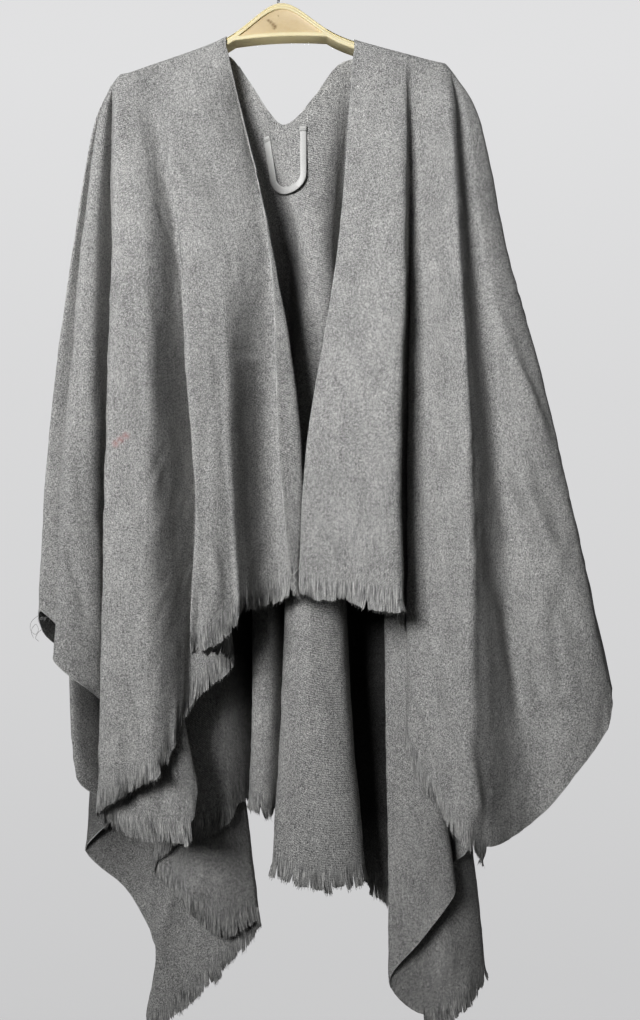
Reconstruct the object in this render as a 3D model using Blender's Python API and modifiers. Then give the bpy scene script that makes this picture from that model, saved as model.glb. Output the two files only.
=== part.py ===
"""An open-front woven poncho (a ruana) hung on a moulded hanger.

The cloth is one rectangle, slit from the front hem to the neck, thrown over the
hanger so that the shoulder line rests on the hanger's top.  Under the arms of the
hanger the cloth falls straight; past its ends it fans out from the tip in rays.
Every fold is a line that starts on the shoulder and falls to the cloth's edge, and
the panels are lofted through those lines.  Lengths in the tables are millimetres,
the frame is metres with +Z up and the front towards -Y.  The origin is the inside
of the top of the hook, where a rail or a peg carries the hanger.
"""

import math

import bmesh
import bpy
import numpy as np

# ------------------------------------------------------------------ driving sizes
MM = 0.001
WALL = 1.6            # woven cloth with its nap
SEAM = 0.40           # gap between stretches of the cloth
FRINGE = 12.0         # free warp ends past the last pick
FRINGE_WALL = 1.0
FRINGE_GAP = 2.2
CORNER_LEFT, CORNER_RIGHT, CORNER_REAR = 199.5, 196.0, (199.0, 154.0)
HOOK_OFFSET = 5.6     # the hook stands this far left of the middle of the hanger

HANGER_TOP = -65.0    # crown of the arch below the hook's inside
HANGER_HALF = 12.0    # half the hanger's width, front to back
HANGER_END = 188.0    # half its length
ARM_HEIGHT = 10.0
ARM_SLOPE = 0.31
ARCH_DROP = 29.0
ARCH_SPREAD = 46.0
TILT = 0.0385         # it hangs a little lower at its left
CHORD = -105.0        # underside of the lower flange at the middle
WEB = 17.6
RIM = 7.4

TIP = 185.0           # the cloth's rays start round this point of each arm
RIM_ROWS = ((0.2, 1.4), (10.1, 1.4), (13.6, -2.2), (14.6, -12.0))  # reach, rise
WING_FLARE = 7.0      # past the arm's end the last of them stands out further
SHOULDER_DROP, SHOULDER_SHARE = 38.0, 0.38  # the wing's round shoulder below it
LEFT_CONTACT, RIGHT_CONTACT = -67.0, 85.0   # where the two slit edges cross the hanger
NECK_POINT = -201.0   # bottom of the neckline's V
NECK_ROUND = 20.0
CHEST, WAIST, HIP = -360.0, -600.0, -880.0  # heights of the sections in the tables

WIRE = 3.4
HOOK_RADIUS = 17.0
TAPE_WIDTH, TAPE_WALL, TAPE_DROP, TAPE_LIFT = 6.0, 0.8, 64.0, 2.2
TAPE_LOOSE = 4.0      # the bottom of the loop hangs this much freer
TAPE_TOPS = ((-21.0, -213.0), (24.0, -203.0))   # its two sewn ends

ROWS_FRONT, ROWS_BACK = 7, 9
COLUMN = 25.0         # widest spacing of the columns across the folds

# ------------------------------------------------------------------ fold tables
# along: where the line leaves the hanger, from the middle, round the arm's end past
#   188; x y at the chest and at the waist; then x y z where it meets the cloth's edge.
FRONT_LEFT = (
    # fold             along  chest      waist       edge x   y     z
    ("slit edge",       67, (-15, -40), (-2, -67), (12, -63, -761)),
    ("lapel",           69, (-12, -37), (24, -56), (19, -57, -765)),
    ("lapel root",      74, (-18, -34), (-7, -14), (4, -26, -769)),
    ("beside lapel",    84, (-35, -42), (-27, -20), (-20, -34, -780)),
    ("chest",          108, (-69, -53), (-57, -80), (-46, -85, -785)),
    ("hem pleat",      115, (-78, -55), (-65, -82), (-49, -83, -798)),
    ("ridge face",     130, (-98, -58), (-80, -89), (-88, -98, -827)),
    ("ridge",          146, (-119, -58), (-98, -90), (-102, -100, -824)),
    ("tuck",           153, (-113, -38), (-90, -34), (-53, -32, -845)),
    ("under ridge",    160, (-123, -21), (-107, 14), (-109, -38, -896)),
    ("flat",           168, (-131, -28), (-117, -4), (-114, -58, -914)),
    ("slope",          176, (-147, -47), (-134, -46), (-125, -78, -944)),
    ("face",           184, (-163, -54), (-152, -69), (-146, -89, -973)),
    ("outer ridge",    196, (-195, -45), (-199, -66), (-207, -76, -1012)),
    ("turned in",    197.5, (-199, -30), (-199, -46), (-192, -57, -1036)),
    ("corner",       199.5, (-201, -18), (-182, -40), (-101, -60, -1046)),
    ("lobe selvedge",  201, (-204, -6), (-184, -6), (-123, -22, -919)),
    ("groove",       202.5, (-208, 18), (-202, 38), (-206, 36, -928)),
    ("side fold",      204, (-222, -16), (-219, -34), (-216, -20, -892)),
    ("side ridge",     206, (-238, -16), (-254, -35), (-265, -36, -845)),
    ("side tuck",      208, (-244, 22), (-258, 24), (-260, 22, -830)),
    ("outline",        210, (-255, 12), (-287, 22), (-298, 24, -792)),
    ("shoulder ray",   212.3, (-253, 32), (-284, 44), (-299, 46, -820)),
)
FRONT_RIGHT = (
    ("slit edge",       85, (66, -40), (29, -60), (20, -66, -763)),
    ("beside slit",     97, (82, -45), (50, -69), (43, -76, -771)),
    ("chest",          116, (104, -52), (81, -79), (73, -86, -770)),
    ("face",           135, (127, -58), (112, -88), (109, -97, -780)),
    ("ridge",          146, (141, -57), (133, -90), (135, -100, -782)),
    ("turned in",      149, (144, -34), (137, -32), (137, -34, -800)),
    ("deep tuck",      153, (151, -12), (158, 14), (169, 20, -857)),
    ("drape edge",     160, (157, -20), (149, -22), (146, -48, -940)),
    ("drape face",     174, (177, -40), (176, -47), (175, -77, -1004)),
    ("outer ridge",    190, (202, -62), (212, -82), (212, -96, -1048)),
    ("corner",         196, (209, -54), (221, -70), (233, -84, -1067)),
    ("valley",         199, (221, -24), (251, -26), (290, -44, -1033)),
    ("wing",           203, (241, -24), (285, -42), (338, -54, -974)),
    ("outline",        206, (267, -10), (325, -26), (383, -40, -909)),
    ("wing tuck",      209, (264, 18), (316, 20), (367, 16, -800)),
    ("shoulder ray",   212.3, (246, 26), (288, 34), (321, 32, -775)),
)
# The back also has its section at the hip, where the line reaches that far.
BACK = (
    # fold              along   chest       waist       hip          edge
    ("shoulder ray L", -212.3, (-253, 32), (-284, 44), None, (-299, 46, -820)),
    ("tuck L",         -208.5, (-249, 56), (-274, 84), None, (-273, 90, -866)),
    ("tube L",         -205,   (-240, 40), (-253, 34), (-263, 24), (-256, 22, -996)),
    ("tube inside",    -203.5, (-232, 50), (-238, 60), (-226, 66), (-210, 58, -1047)),
    ("sliver",         -202, (-227, 64), (-238, 92), (-244, 100), (-253, 88, -1104)),
    ("selvedge 1",     -201, (-220, 66), (-220, 100), (-216, 112), (-200, 96, -1161)),
    ("selvedge 2",     -200, (-213, 64), (-202, 98), (-187, 110), (-158, 84, -1255)),
    ("corner L",       -199, (-206, 60), (-190, 94), (-160, 104), (-178, 74, -1333)),
    ("hem 1",          -196, (-198, 58), (-176, 92), (-149, 100), (-125, 74, -1298)),
    ("hem 2",          -190,   (-188, 52), (-150, 80), (-109, 85), (-79, 66, -1250)),
    ("inner fold",     -182,   (-178, 50), (-128, 78), (-73, 80), (-31, 68, -1189)),
    ("tip",            -176,   (-170, 42), (-132, 62), (-91, 60), (-77, 42, -1196)),
    ("hem 3",          -169,   (-162, 39), (-150, 58), (-128, 58), (-122, 40, -1156)),
    ("turn",           -161,   (-152, 40), (-168, 57), (-160, 60), (-162, 48, -1114)),
    ("dark panel 1",   -152,   (-142, 40), (-148, 44), (-146, 40), (-130, 30, -1079)),
    ("dark panel 2",   -130,   (-118, 38), (-110, 46), (-92, 42), (-77, 34, -1062)),
    ("dark panel 3",   -108,   (-98, 44), (-80, 58), (-66, 58), (-56, 54, -1032)),
    ("crevice L",       -94,   (-81, 60), (-52, 98), (-36, 112), (-29, 102, -1045)),
    ("strip edge",      -82,   (-56, 38), (-41, 32), (-36, 26), (-42, 20, -1035)),
    ("strip",           -67,   (-30, 33), (-19, 26), (-17, 22), (-20, 18, -1039)),
    ("strip valley",    -42, (0, 63), (0, 92), (4, 79), (6, 63, -1042)),
    ("lobe edge L",     -18,   (14, 48), (6, 25), (1, 12), (-12, -3, -1101)),
    ("lobe round",       -2,   (20, 35), (14, 16), (12, 3), (4, -11, -1108)),
    ("lobe 1",           12,   (29, 29), (24, 12), (25, -2), (21, -16, -1114)),
    ("lobe 2",           40,   (46, 29), (47, 14), (54, -2), (61, -14, -1120)),
    ("lobe edge R",      66,   (60, 44), (65, 24), (75, 12), (95, 0, -1113)),
    ("crevice R",        85, (70, 82), (79, 104), (89, 124), (102, 112, -1153)),
    ("inner R",          98, (92, 66), (109, 90), (118, 110), (125, 100, -1170)),
    ("behind R",        114, (114, 60), (147, 98), (174, 114), (194, 106, -1225)),
    ("outer fold R",    132, (132, 56), (185, 90), (218, 100), (256, 86, -1264)),
    ("hem R",           144,   (141, 43), (172, 62), (198, 68), (224, 54, -1295)),
    ("corner R",        154,   (148, 39), (152, 56), (167, 60), (173, 44, -1313)),
    ("inner fold R",    164,   (154, 36), (129, 47), (126, 44), (130, 30, -1248)),
    ("turned face",     176,   (164, 31), (150, 34), (152, 32), (171, 20, -1188)),
    ("turned edge",     187,   (174, 32), (172, 29), (172, 28), (211, 21, -1131)),
    ("tuck R",          194, (186, 54), (191, 68), (194, 70), (208, 60, -1116)),
    ("back wing",       200,   (197, 37), (214, 38), (222, 41), (227, 38, -1088)),
    ("back wing tuck",  206, (222, 54), (271, 76), None, (298, 80, -930)),
    ("shoulder ray R",  212.3, (246, 26), (288, 34), None, (321, 32, -775)),
)


RIM_COUNT = len(RIM_ROWS)


# ------------------------------------------------------------------ curves
def hanger_top(x):
    """Height of the hanger's upper edge at x, all in millimetres."""
    d = x + 2.0
    arm = ARM_SLOPE * (math.hypot(d, 25.0) - 25.0)
    arch = ARCH_DROP * (1.0 - math.exp(-((d / ARCH_SPREAD) ** 2)))
    return HANGER_TOP - arm - arch + TILT * x


def neckline(x):
    """Height of the back neckline at x: a rounded V, steeper on its left."""
    slope = 1.65 if x < 0 else 1.35
    return NECK_POINT - NECK_ROUND + math.hypot(NECK_ROUND, slope * x)


def spline(points, samples):
    """A centripetal Catmull-Rom curve through points, sampled at the parameters
    (segment + fraction) in samples.  Its end tangents are the end chords."""
    p = np.asarray(points, float)
    p = np.vstack([2 * p[0] - p[1], p, 2 * p[-1] - p[-2]])
    return segment_samples(p, samples)


def segment_samples(p, samples):
    """Samples of the curve through p[1:-1], with p[0] and p[-1] as its neighbours."""
    out = []
    for s in samples:
        k = min(int(s), len(p) - 4)
        f = s - k
        a, b, c, d = p[k], p[k + 1], p[k + 2], p[k + 3]
        ta = 0.0
        tb = ta + max(np.linalg.norm(b - a), 1e-9) ** 0.5
        tc = tb + max(np.linalg.norm(c - b), 1e-9) ** 0.5
        td = tc + max(np.linalg.norm(d - c), 1e-9) ** 0.5
        t = tb + f * (tc - tb)
        ab = (tb - t) / (tb - ta) * a + (t - ta) / (tb - ta) * b
        bc = (tc - t) / (tc - tb) * b + (t - tb) / (tc - tb) * c
        cd = (td - t) / (td - tc) * c + (t - tc) / (td - tc) * d
        abc = (tc - t) / (tc - ta) * ab + (t - ta) / (tc - ta) * bc
        bcd = (td - t) / (td - tb) * bc + (t - tb) / (td - tb) * cd
        out.append((tc - t) / (tc - tb) * abc + (t - tb) / (tc - tb) * bcd)
    return np.array(out)


def rim_points(along, front):
    """The line's first points, over the hanger's top and down past its edge."""
    side = -1.0 if front else 1.0
    hand = math.copysign(1.0, along)
    turn = max(abs(along) - TIP, 0.0) / (212.3 - TIP) * math.pi / 2
    x0 = hand * min(abs(along), TIP)
    points = []
    for reach, rise in RIM_ROWS:
        r = max(reach, 1.5) if turn > 0 else reach
        x = x0 + hand * r * math.sin(turn)
        y = side * max(r * math.cos(turn), SEAM / 2)
        points.append((x, y, hanger_top(x0) + rise))
    if turn > 0:
        x, y, z = points[-1]
        points[-1] = (x + hand * WING_FLARE * math.sin(turn), y, z)
    return points


def fold_line(row, front, rows):
    """One fold from its top to the cloth's edge: rim points, then even steps."""
    name, along, levels, edge = row[0], row[1], row[2:-1], row[-1]
    on_neck = not front and LEFT_CONTACT < along < RIGHT_CONTACT
    if on_neck:
        head = [(along, 16.5 + 4.0 * (1 - abs(along) / 85.0), neckline(along))]
    else:
        head = rim_points(along, front)
    body = [head[-1]]
    if abs(along) > TIP:
        share, (x, y, z) = SHOULDER_SHARE, head[-1]
        chest = levels[0]
        body.append((x + share * (chest[0] - x), y + share * (chest[1] - y), z - SHOULDER_DROP))
    for level, z in zip(levels, (CHEST, WAIST, HIP)):
        if level is not None:
            body.append((level[0], level[1], z))
    body.append(edge)
    fine = spline(body, np.linspace(0, len(body) - 1, 40 * (len(body) - 1) + 1))
    length = np.concatenate([[0], np.cumsum(np.linalg.norm(np.diff(fine, axis=0), axis=1))])
    steps = np.linspace(0, 1, rows + 1)[1:]
    # Only the cloth's two cut ends are fringed: elsewhere it ends in a selvedge.
    ragged = -CORNER_LEFT <= along <= CORNER_RIGHT if front else -CORNER_REAR[0] <= along <= CORNER_REAR[1]
    at = steps * (length[-1] - (FRINGE if ragged else 0.0))
    even = np.array([[np.interp(a, length, fine[:, i]) for i in range(3)] for a in at])
    tail = fine[-1]
    first = [head[-1]] * len(RIM_ROWS) if on_neck else head
    return {"name": name, "neck": on_neck, "points": np.vstack([first, even]), "tail": tail}


def across(lines, before, after):
    """Columns of the loft: parameters across the fold lines, closer where the cloth
    runs further from one line to the next."""
    widest = [
        max(np.linalg.norm(a["points"][RIM_COUNT:] - b["points"][RIM_COUNT:], axis=1).max(), 1.0)
        for a, b in zip(lines, lines[1:])
    ]
    samples = [0.0]
    for k, width in enumerate(widest):
        n = int(min(max(round(width / COLUMN), 1), 4))
        samples += [k + (i + 1) / n for i in range(n)]
    return samples


def loft(lines, before=None, after=None):
    """Rows of points across the panel; before and after are the neighbours' lines,
    so that the cloth runs smoothly on past the panel's edges."""
    samples = across(lines, before, after)
    rows = []
    for r in range(len(lines[0]["points"])):
        p = [line["points"][r] for line in lines]
        p = [2 * p[0] - p[1] if before is None else before["points"][r]] + p
        p.append(2 * p[-1] - p[-2] if after is None else after["points"][r])
        rows.append(segment_samples(np.array(p), samples))
    p = [line["tail"] for line in lines]
    p = [2 * p[0] - p[1] if before is None else before["tail"]] + p
    p.append(2 * p[-1] - p[-2] if after is None else after["tail"])
    return samples, np.array(rows), segment_samples(np.array(p), samples)


def draw_in(rows, tails, left, right):
    """Leaves half a seam's gap at an edge that meets the next stretch of cloth."""
    for flag, a, b in ((left, 0, 1), (right, -1, -2)):
        if flag:
            for block in (rows, tails[None]):
                step = block[:, b] - block[:, a]
                size = np.linalg.norm(step, axis=-1, keepdims=True)
                block[:, a] += step / np.maximum(size, 1e-6) * SEAM * 1.5


def fringe_rows(woven, free):
    """The fringe's reach, from just past the last pick to its ends."""
    step = free - woven
    step /= np.linalg.norm(step, axis=1, keepdims=True)
    hem = np.gradient(woven, axis=0)
    hem /= np.linalg.norm(hem, axis=1, keepdims=True)
    # Where the hem runs steeply the ends leave it at a slant, so the gap grows with it.
    square = np.sqrt(np.maximum(1 - (hem * step).sum(axis=1, keepdims=True) ** 2, 0.16))
    return np.array([woven + step * FRINGE_GAP / square, woven + step * FRINGE])


# ------------------------------------------------------------------ building
def clear_scene():
    for obj in list(bpy.data.objects):
        bpy.data.objects.remove(obj, do_unlink=True)


def material(name, colour, roughness, metallic=0.0):
    mat = bpy.data.materials.new(name)
    mat.use_nodes = True
    shader = mat.node_tree.nodes["Principled BSDF"]
    shader.inputs["Base Color"].default_value = (*colour, 1.0)
    shader.inputs["Roughness"].default_value = roughness
    shader.inputs["Metallic"].default_value = metallic
    return mat


def add(name, data, mat, collection):
    obj = bpy.data.objects.new(name, data)
    obj.data.materials.append(mat)
    obj.location.x = HOOK_OFFSET * MM
    collection.objects.link(obj)
    return obj


def solidify(obj, wall):
    mod = obj.modifiers.new("wall", "SOLIDIFY")
    mod.thickness = wall * MM
    mod.offset = 0.0
    mod.use_quality_normals = True
    return obj


def grid_mesh(name, rows, skip=None):
    """An open surface through a grid of rows; skip(r, c) leaves a face out."""
    count, width = rows.shape[:2]
    faces = [
        (r * width + c, r * width + c + 1, (r + 1) * width + c + 1, (r + 1) * width + c)
        for r in range(count - 1)
        for c in range(width - 1)
        if not (skip and skip(r, c))
    ]
    used = sorted({v for face in faces for v in face})
    index = {v: i for i, v in enumerate(used)}
    flat = rows.reshape(-1, 3) * MM
    mesh = bpy.data.meshes.new(name)
    mesh.from_pydata([tuple(flat[v]) for v in used], [], [[index[v] for v in f] for f in faces])
    mesh.shade_smooth()
    mesh.update()
    return mesh


def outline_curve(name, points, half, z_to_y=True):
    """A flat outline in X and Z, filled and given its thickness in Y."""
    curve = bpy.data.curves.new(name, "CURVE")
    curve.dimensions = "2D"
    curve.fill_mode = "BOTH"
    curve.extrude = half * MM
    line = curve.splines.new("POLY")
    line.points.add(len(points) - 1)
    for p, (x, z) in zip(line.points, points):
        p.co = (x * MM, z * MM, 0, 1)
    line.use_cyclic_u = True
    return curve


def mesh_from_curve(name, curve, mat, collection, y=0.0):
    """The curve stood upright and made a mesh, with its caps joined on."""
    guide = bpy.data.objects.new(name + "_outline", curve)
    guide.rotation_euler.x = math.pi / 2
    guide.location = (HOOK_OFFSET * MM, y * MM, 0)
    collection.objects.link(guide)
    bpy.context.view_layer.update()
    graph = bpy.context.evaluated_depsgraph_get()
    mesh = bpy.data.meshes.new_from_object(guide.evaluated_get(graph))
    obj = bpy.data.objects.new(name, weld_caps(mesh))
    obj.matrix_world = guide.matrix_world.copy()
    collection.objects.link(obj)
    bpy.data.objects.remove(guide, do_unlink=True)
    if mat:
        obj.data.materials.clear()
        obj.data.materials.append(mat)
    return obj


def weld_caps(mesh):
    """The curve's loose caps welded on, and each cap made one face."""
    work = bmesh.new()
    work.from_mesh(mesh)
    bmesh.ops.remove_doubles(work, verts=work.verts, dist=1e-6)
    bmesh.ops.recalc_face_normals(work, faces=work.faces)
    caps = [e for e in work.edges if len(e.link_faces) == 2 and e.calc_face_angle() < 1e-5]
    bmesh.ops.dissolve_edges(work, edges=caps, use_verts=False)
    work.to_mesh(mesh)
    work.free()
    return mesh


clear_scene()
parts = bpy.data.collections.new("woven_poncho_on_hanger")
bpy.context.scene.collection.children.link(parts)
cutters = bpy.data.collections.new("cutters")
bpy.context.scene.collection.children.link(cutters)

cloth = {
    name: material("grey_melange_" + name, tint, 0.95)
    for name, tint in (
        ("back", (0.30, 0.30, 0.29)),
        ("front_left", (0.33, 0.33, 0.32)),
        ("front_right", (0.32, 0.32, 0.31)),
    )
}
fringe_grey = material("fringe_grey", (0.36, 0.36, 0.35), 0.95)
cream = material("cream_plastic", (0.80, 0.72, 0.47), 0.38)
steel = material("hook_steel", (0.62, 0.62, 0.62), 0.3, 1.0)
satin = material("satin_tape", (0.70, 0.70, 0.69), 0.45)

# ---- cloth panels
left_lines = [fold_line((n, -a, *rest), True, ROWS_FRONT) for n, a, *rest in FRONT_LEFT]
right_lines = [fold_line(row, True, ROWS_FRONT) for row in FRONT_RIGHT]
back_lines = [fold_line(row, False, ROWS_BACK) for row in BACK]

for name, lines in (("front_left", left_lines), ("front_right", right_lines)):
    samples, rows, tails = loft(lines)
    draw_in(rows, tails, False, True)
    solidify(add(name, grid_mesh(name, rows), cloth[name], parts), WALL)
    hem_until = [i for i, line in enumerate(lines) if line["name"] == "corner"][0]
    keep = [i for i, s in enumerate(samples) if s <= hem_until + 1e-9]
    trim = fringe_rows(rows[-1][keep], tails[keep])
    solidify(add("fringe_" + name, grid_mesh("fringe_" + name, trim), fringe_grey, parts), FRINGE_WALL)

samples, rows, tails = loft(back_lines)
draw_in(rows, tails, True, True)
neck = [line["neck"] for line in back_lines]


def open_neck(r, c):
    middle = (samples[c] + samples[c + 1]) / 2
    k = int(middle)
    return r < RIM_COUNT - 1 and (neck[k] or neck[k + 1])


solidify(add("back", grid_mesh("back", rows, open_neck), cloth["back"], parts), WALL)
names = [line["name"] for line in back_lines]
first, last = names.index("corner L"), names.index("corner R")
keep = [i for i, s in enumerate(samples) if first - 1e-9 <= s <= last + 1e-9]
trim = fringe_rows(rows[-1][keep], tails[keep])
solidify(add("fringe_back", grid_mesh("fringe_back", trim), fringe_grey, parts), FRINGE_WALL)

# ---- the loop of tape sewn inside the back of the neck, laid on the back's points
def back_depth(x, z):
    """Depth of the back's cloth behind the neck at x and z, off the lofted rows."""
    here = rows[RIM_COUNT - 1 :]
    best = None
    for r in range(len(here) - 1):
        for c in range(here.shape[1] - 1):
            a, b, d = here[r, c], here[r, c + 1], here[r + 1, c]
            e = here[r + 1, c + 1]
            for p, q, t in ((a, b, d), (b, e, d)):
                m = np.array([[q[0] - p[0], t[0] - p[0]], [q[2] - p[2], t[2] - p[2]]])
                if abs(np.linalg.det(m)) < 1e-6:
                    continue
                u, v = np.linalg.solve(m, [x - p[0], z - p[2]])
                if u >= -1e-6 and v >= -1e-6 and u + v <= 1 + 1e-6:
                    y = p[1] + u * (q[1] - p[1]) + v * (t[1] - p[1])
                    best = y if best is None else min(best, y)
    return best


def tape_loop():
    """A U of flat tape: down one leg, round the bottom and up the other."""
    (x0, z0), (x1, z1) = TAPE_TOPS
    radius = (x1 - x0) / 2
    low = min(z0, z1) - TAPE_DROP + radius
    path = [(x0, z0 + (low - z0) * i / 4) for i in range(4)]
    path += [
        (x0 + radius - radius * math.cos(a), low - radius * math.sin(a))
        for a in np.linspace(0, math.pi, 13)
    ]
    path += [(x1, low + (z1 - low) * (i + 1) / 4) for i in range(4)]
    path = np.array(path)
    away = np.gradient(path, axis=0)
    away = np.stack([-away[:, 1], away[:, 0]], 1) / np.linalg.norm(away, axis=1)[:, None]
    out = []
    for side in (-1, 1):
        edge = path + side * away * TAPE_WIDTH / 2
        out.append([
            (x, back_depth(x, z) - TAPE_LIFT - TAPE_LOOSE * (TAPE_TOPS[0][1] - z) / TAPE_DROP, z)
            for x, z in edge
        ])
    return np.array(out)


tape = grid_mesh("neck_tape", tape_loop())
solidify(add("neck_tape", tape, satin, parts), TAPE_WALL)

# ---- hanger: one outline, its two pockets and rounded edges
xs = np.linspace(-HANGER_END, HANGER_END, 37)
upper = [(x, hanger_top(x)) for x in xs]
lower = [
    (x, min(hanger_top(x) - ARM_HEIGHT, CHORD - 2.0 * (x / 45.0) ** 2 + TILT * x))
    for x in reversed(xs)
]
hanger = mesh_from_curve("hanger", outline_curve("hanger", upper + lower, HANGER_HALF), cream, parts)
bevel = hanger.modifiers.new("rounded", "BEVEL")
bevel.width = 2.4 * MM
bevel.segments = 1
bevel.limit_method = "ANGLE"
bevel.angle_limit = math.radians(50)
pocket_xs = [x for x in np.linspace(-60, 60, 31) if hanger_top(x) - RIM > CHORD + 4.5 + TILT * x]
pocket = [(x, hanger_top(x) - RIM) for x in pocket_xs]
pocket += [(x, CHORD + 4.0 - 2.0 * (x / 45.0) ** 2 + TILT * x) for x in reversed(pocket_xs)]
for label, y in (("front", -1), ("rear", 1)):
    depth = (HANGER_HALF - WEB / 2) / 2 + 1.0
    cutter = mesh_from_curve(
        "pocket_" + label,
        outline_curve("pocket_" + label, pocket, depth),
        None,
        cutters,
        y * (WEB / 2 + depth),
    )
    cutter.hide_render = True
    cutter.display_type = "WIRE"
    cut = hanger.modifiers.new("pocket_" + label, "BOOLEAN")
    cut.operation = "DIFFERENCE"
    cut.solver = "EXACT"
    cut.object = cutter

# ---- hook: a stem out of the arch's crown, turned over to the open side
crown = hanger_top(-HOOK_OFFSET)
middle = WIRE / 2 - HOOK_RADIUS - WIRE / 2
ring = HOOK_RADIUS + WIRE / 2
hook_path = [(0.0, crown + 0.4 - 0.0), (0.0, crown + 8.0)]
for i in range(25):
    a = math.radians(-62 + 262 * i / 24)
    hook_path.append((ring * math.cos(a), -HOOK_RADIUS + ring * math.sin(a)))
hook_curve = bpy.data.curves.new("hook", "CURVE")
hook_curve.dimensions = "3D"
hook_curve.bevel_depth = WIRE / 2 * MM
hook_curve.bevel_resolution = 2
hook_curve.use_fill_caps = True
line = hook_curve.splines.new("POLY")
smooth_points = spline(
    [(x, 0.0, z) for x, z in hook_path[:2]] + [(x, 0.0, z) for x, z in hook_path[3::2]],
    np.linspace(0, 1 + len(hook_path[3::2]), 46),
)
line.points.add(len(smooth_points) - 1)
for p, q in zip(line.points, smooth_points):
    p.co = (q[0] * MM, q[1] * MM, q[2] * MM, 1)
hook = bpy.data.objects.new("hook", hook_curve)
hook.data.materials.append(steel)
parts.objects.link(hook)
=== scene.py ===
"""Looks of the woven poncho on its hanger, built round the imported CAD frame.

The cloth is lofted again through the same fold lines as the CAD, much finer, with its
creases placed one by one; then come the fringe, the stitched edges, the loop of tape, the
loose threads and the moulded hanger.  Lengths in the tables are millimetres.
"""

import math

import bmesh
import bpy
import numpy as np
from mathutils import Matrix, Vector


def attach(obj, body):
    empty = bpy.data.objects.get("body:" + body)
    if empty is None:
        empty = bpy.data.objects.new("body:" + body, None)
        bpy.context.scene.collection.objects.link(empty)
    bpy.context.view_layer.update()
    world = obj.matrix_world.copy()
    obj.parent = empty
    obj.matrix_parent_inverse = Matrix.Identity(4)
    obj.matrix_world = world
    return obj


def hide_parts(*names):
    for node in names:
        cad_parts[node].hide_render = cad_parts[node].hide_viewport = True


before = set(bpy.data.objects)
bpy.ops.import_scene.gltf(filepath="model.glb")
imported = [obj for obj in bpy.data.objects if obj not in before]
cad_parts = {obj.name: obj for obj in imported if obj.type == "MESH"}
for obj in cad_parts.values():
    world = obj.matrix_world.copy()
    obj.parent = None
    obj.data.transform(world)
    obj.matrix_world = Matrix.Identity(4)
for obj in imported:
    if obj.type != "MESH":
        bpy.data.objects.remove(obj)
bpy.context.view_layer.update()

# ------------------------------------------------------------------ sizes, as in the CAD
MM = 0.001
WALL = 1.3            # woven cloth with its nap
FRINGE = 12.0         # free warp ends past the last pick
HOOK_OFFSET = 5.6     # the hook stands this far left of the middle of the hanger

HANGER_TOP = -65.0    # crown of the arch below the hook's inside
HANGER_HALF = 12.0
HANGER_END = 188.0
ARM_HEIGHT = 10.0
ARM_SLOPE = 0.31
ARCH_DROP = 29.0
ARCH_SPREAD = 46.0
TILT = 0.0385
CHORD = -105.0

TIP = 185.0           # the cloth's rays start round this point of each arm
RIM_ROWS = ((0.2, 1.4), (10.1, 1.4), (13.6, -2.2), (14.6, -12.0))  # reach, rise
WING_FLARE = 7.0
SHOULDER_DROP, SHOULDER_SHARE = 38.0, 0.38
LEFT_CONTACT, RIGHT_CONTACT = -67.0, 85.0
NECK_POINT = -201.0
NECK_ROUND = 20.0
CHEST, WAIST, HIP = -360.0, -600.0, -880.0
WIRE = 3.4
HOOK_RADIUS = 17.0
TAPE_WIDTH, TAPE_WALL, TAPE_DROP, TAPE_LIFT = 8.0, 0.6, 64.0, 2.2
TAPE_LOOSE = 4.0
TAPE_TOPS = ((-21.0, -213.0), (24.0, -203.0))

HALF_CUT = 762.5      # the cloth's flat size: half its width, and the drop of the
FRONT_CUT, BACK_CUT = 655.0, 940.0   # front and of the back from the shoulder line

# ------------------------------------------------------------------ fold tables
# along: where the line leaves the hanger, from the middle, round the arm's end past
#   188; x y at the chest and at the waist; then x y z where it meets the cloth's edge.
FRONT_LEFT = (
    # fold             along  chest      waist       edge x   y     z
    ("slit edge",       67, (-15, -40), (-2, -67), (12, -63, -761)),
    ("lapel",           69, (-12, -37), (24, -56), (19, -57, -765)),
    ("lapel root",      74, (-18, -34), (-7, -14), (4, -26, -769)),
    ("beside lapel",    84, (-35, -42), (-27, -20), (-20, -34, -780)),
    ("chest",          108, (-69, -53), (-57, -80), (-46, -85, -785)),
    ("hem pleat",      115, (-78, -55), (-65, -82), (-49, -83, -798)),
    ("ridge face",     130, (-98, -58), (-80, -89), (-88, -98, -827)),
    ("ridge",          146, (-119, -58), (-98, -90), (-102, -100, -824)),
    ("tuck",           153, (-113, -38), (-90, -34), (-53, -32, -845)),
    ("under ridge",    160, (-123, -21), (-107, 14), (-109, -38, -896)),
    ("flat",           168, (-131, -28), (-117, -4), (-114, -58, -914)),
    ("slope",          176, (-147, -47), (-134, -46), (-125, -78, -944)),
    ("face",           184, (-163, -54), (-152, -69), (-146, -89, -973)),
    ("outer ridge",    196, (-195, -45), (-199, -66), (-207, -76, -1012)),
    ("turned in",    197.5, (-199, -30), (-199, -46), (-192, -57, -1036)),
    ("corner",       199.5, (-201, -18), (-182, -40), (-101, -60, -1046)),
    ("lobe selvedge",  201, (-204, -6), (-184, -6), (-123, -22, -919)),
    ("groove",       202.5, (-208, 18), (-202, 38), (-206, 36, -928)),
    ("side fold",      204, (-222, -16), (-219, -34), (-216, -20, -892)),
    ("side ridge",     206, (-238, -16), (-254, -35), (-265, -36, -845)),
    ("side tuck",      208, (-244, 22), (-258, 24), (-260, 22, -830)),
    ("outline",        210, (-255, 12), (-287, 22), (-298, 24, -792)),
    ("shoulder ray",   212.3, (-253, 32), (-284, 44), (-299, 46, -820)),
)
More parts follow.
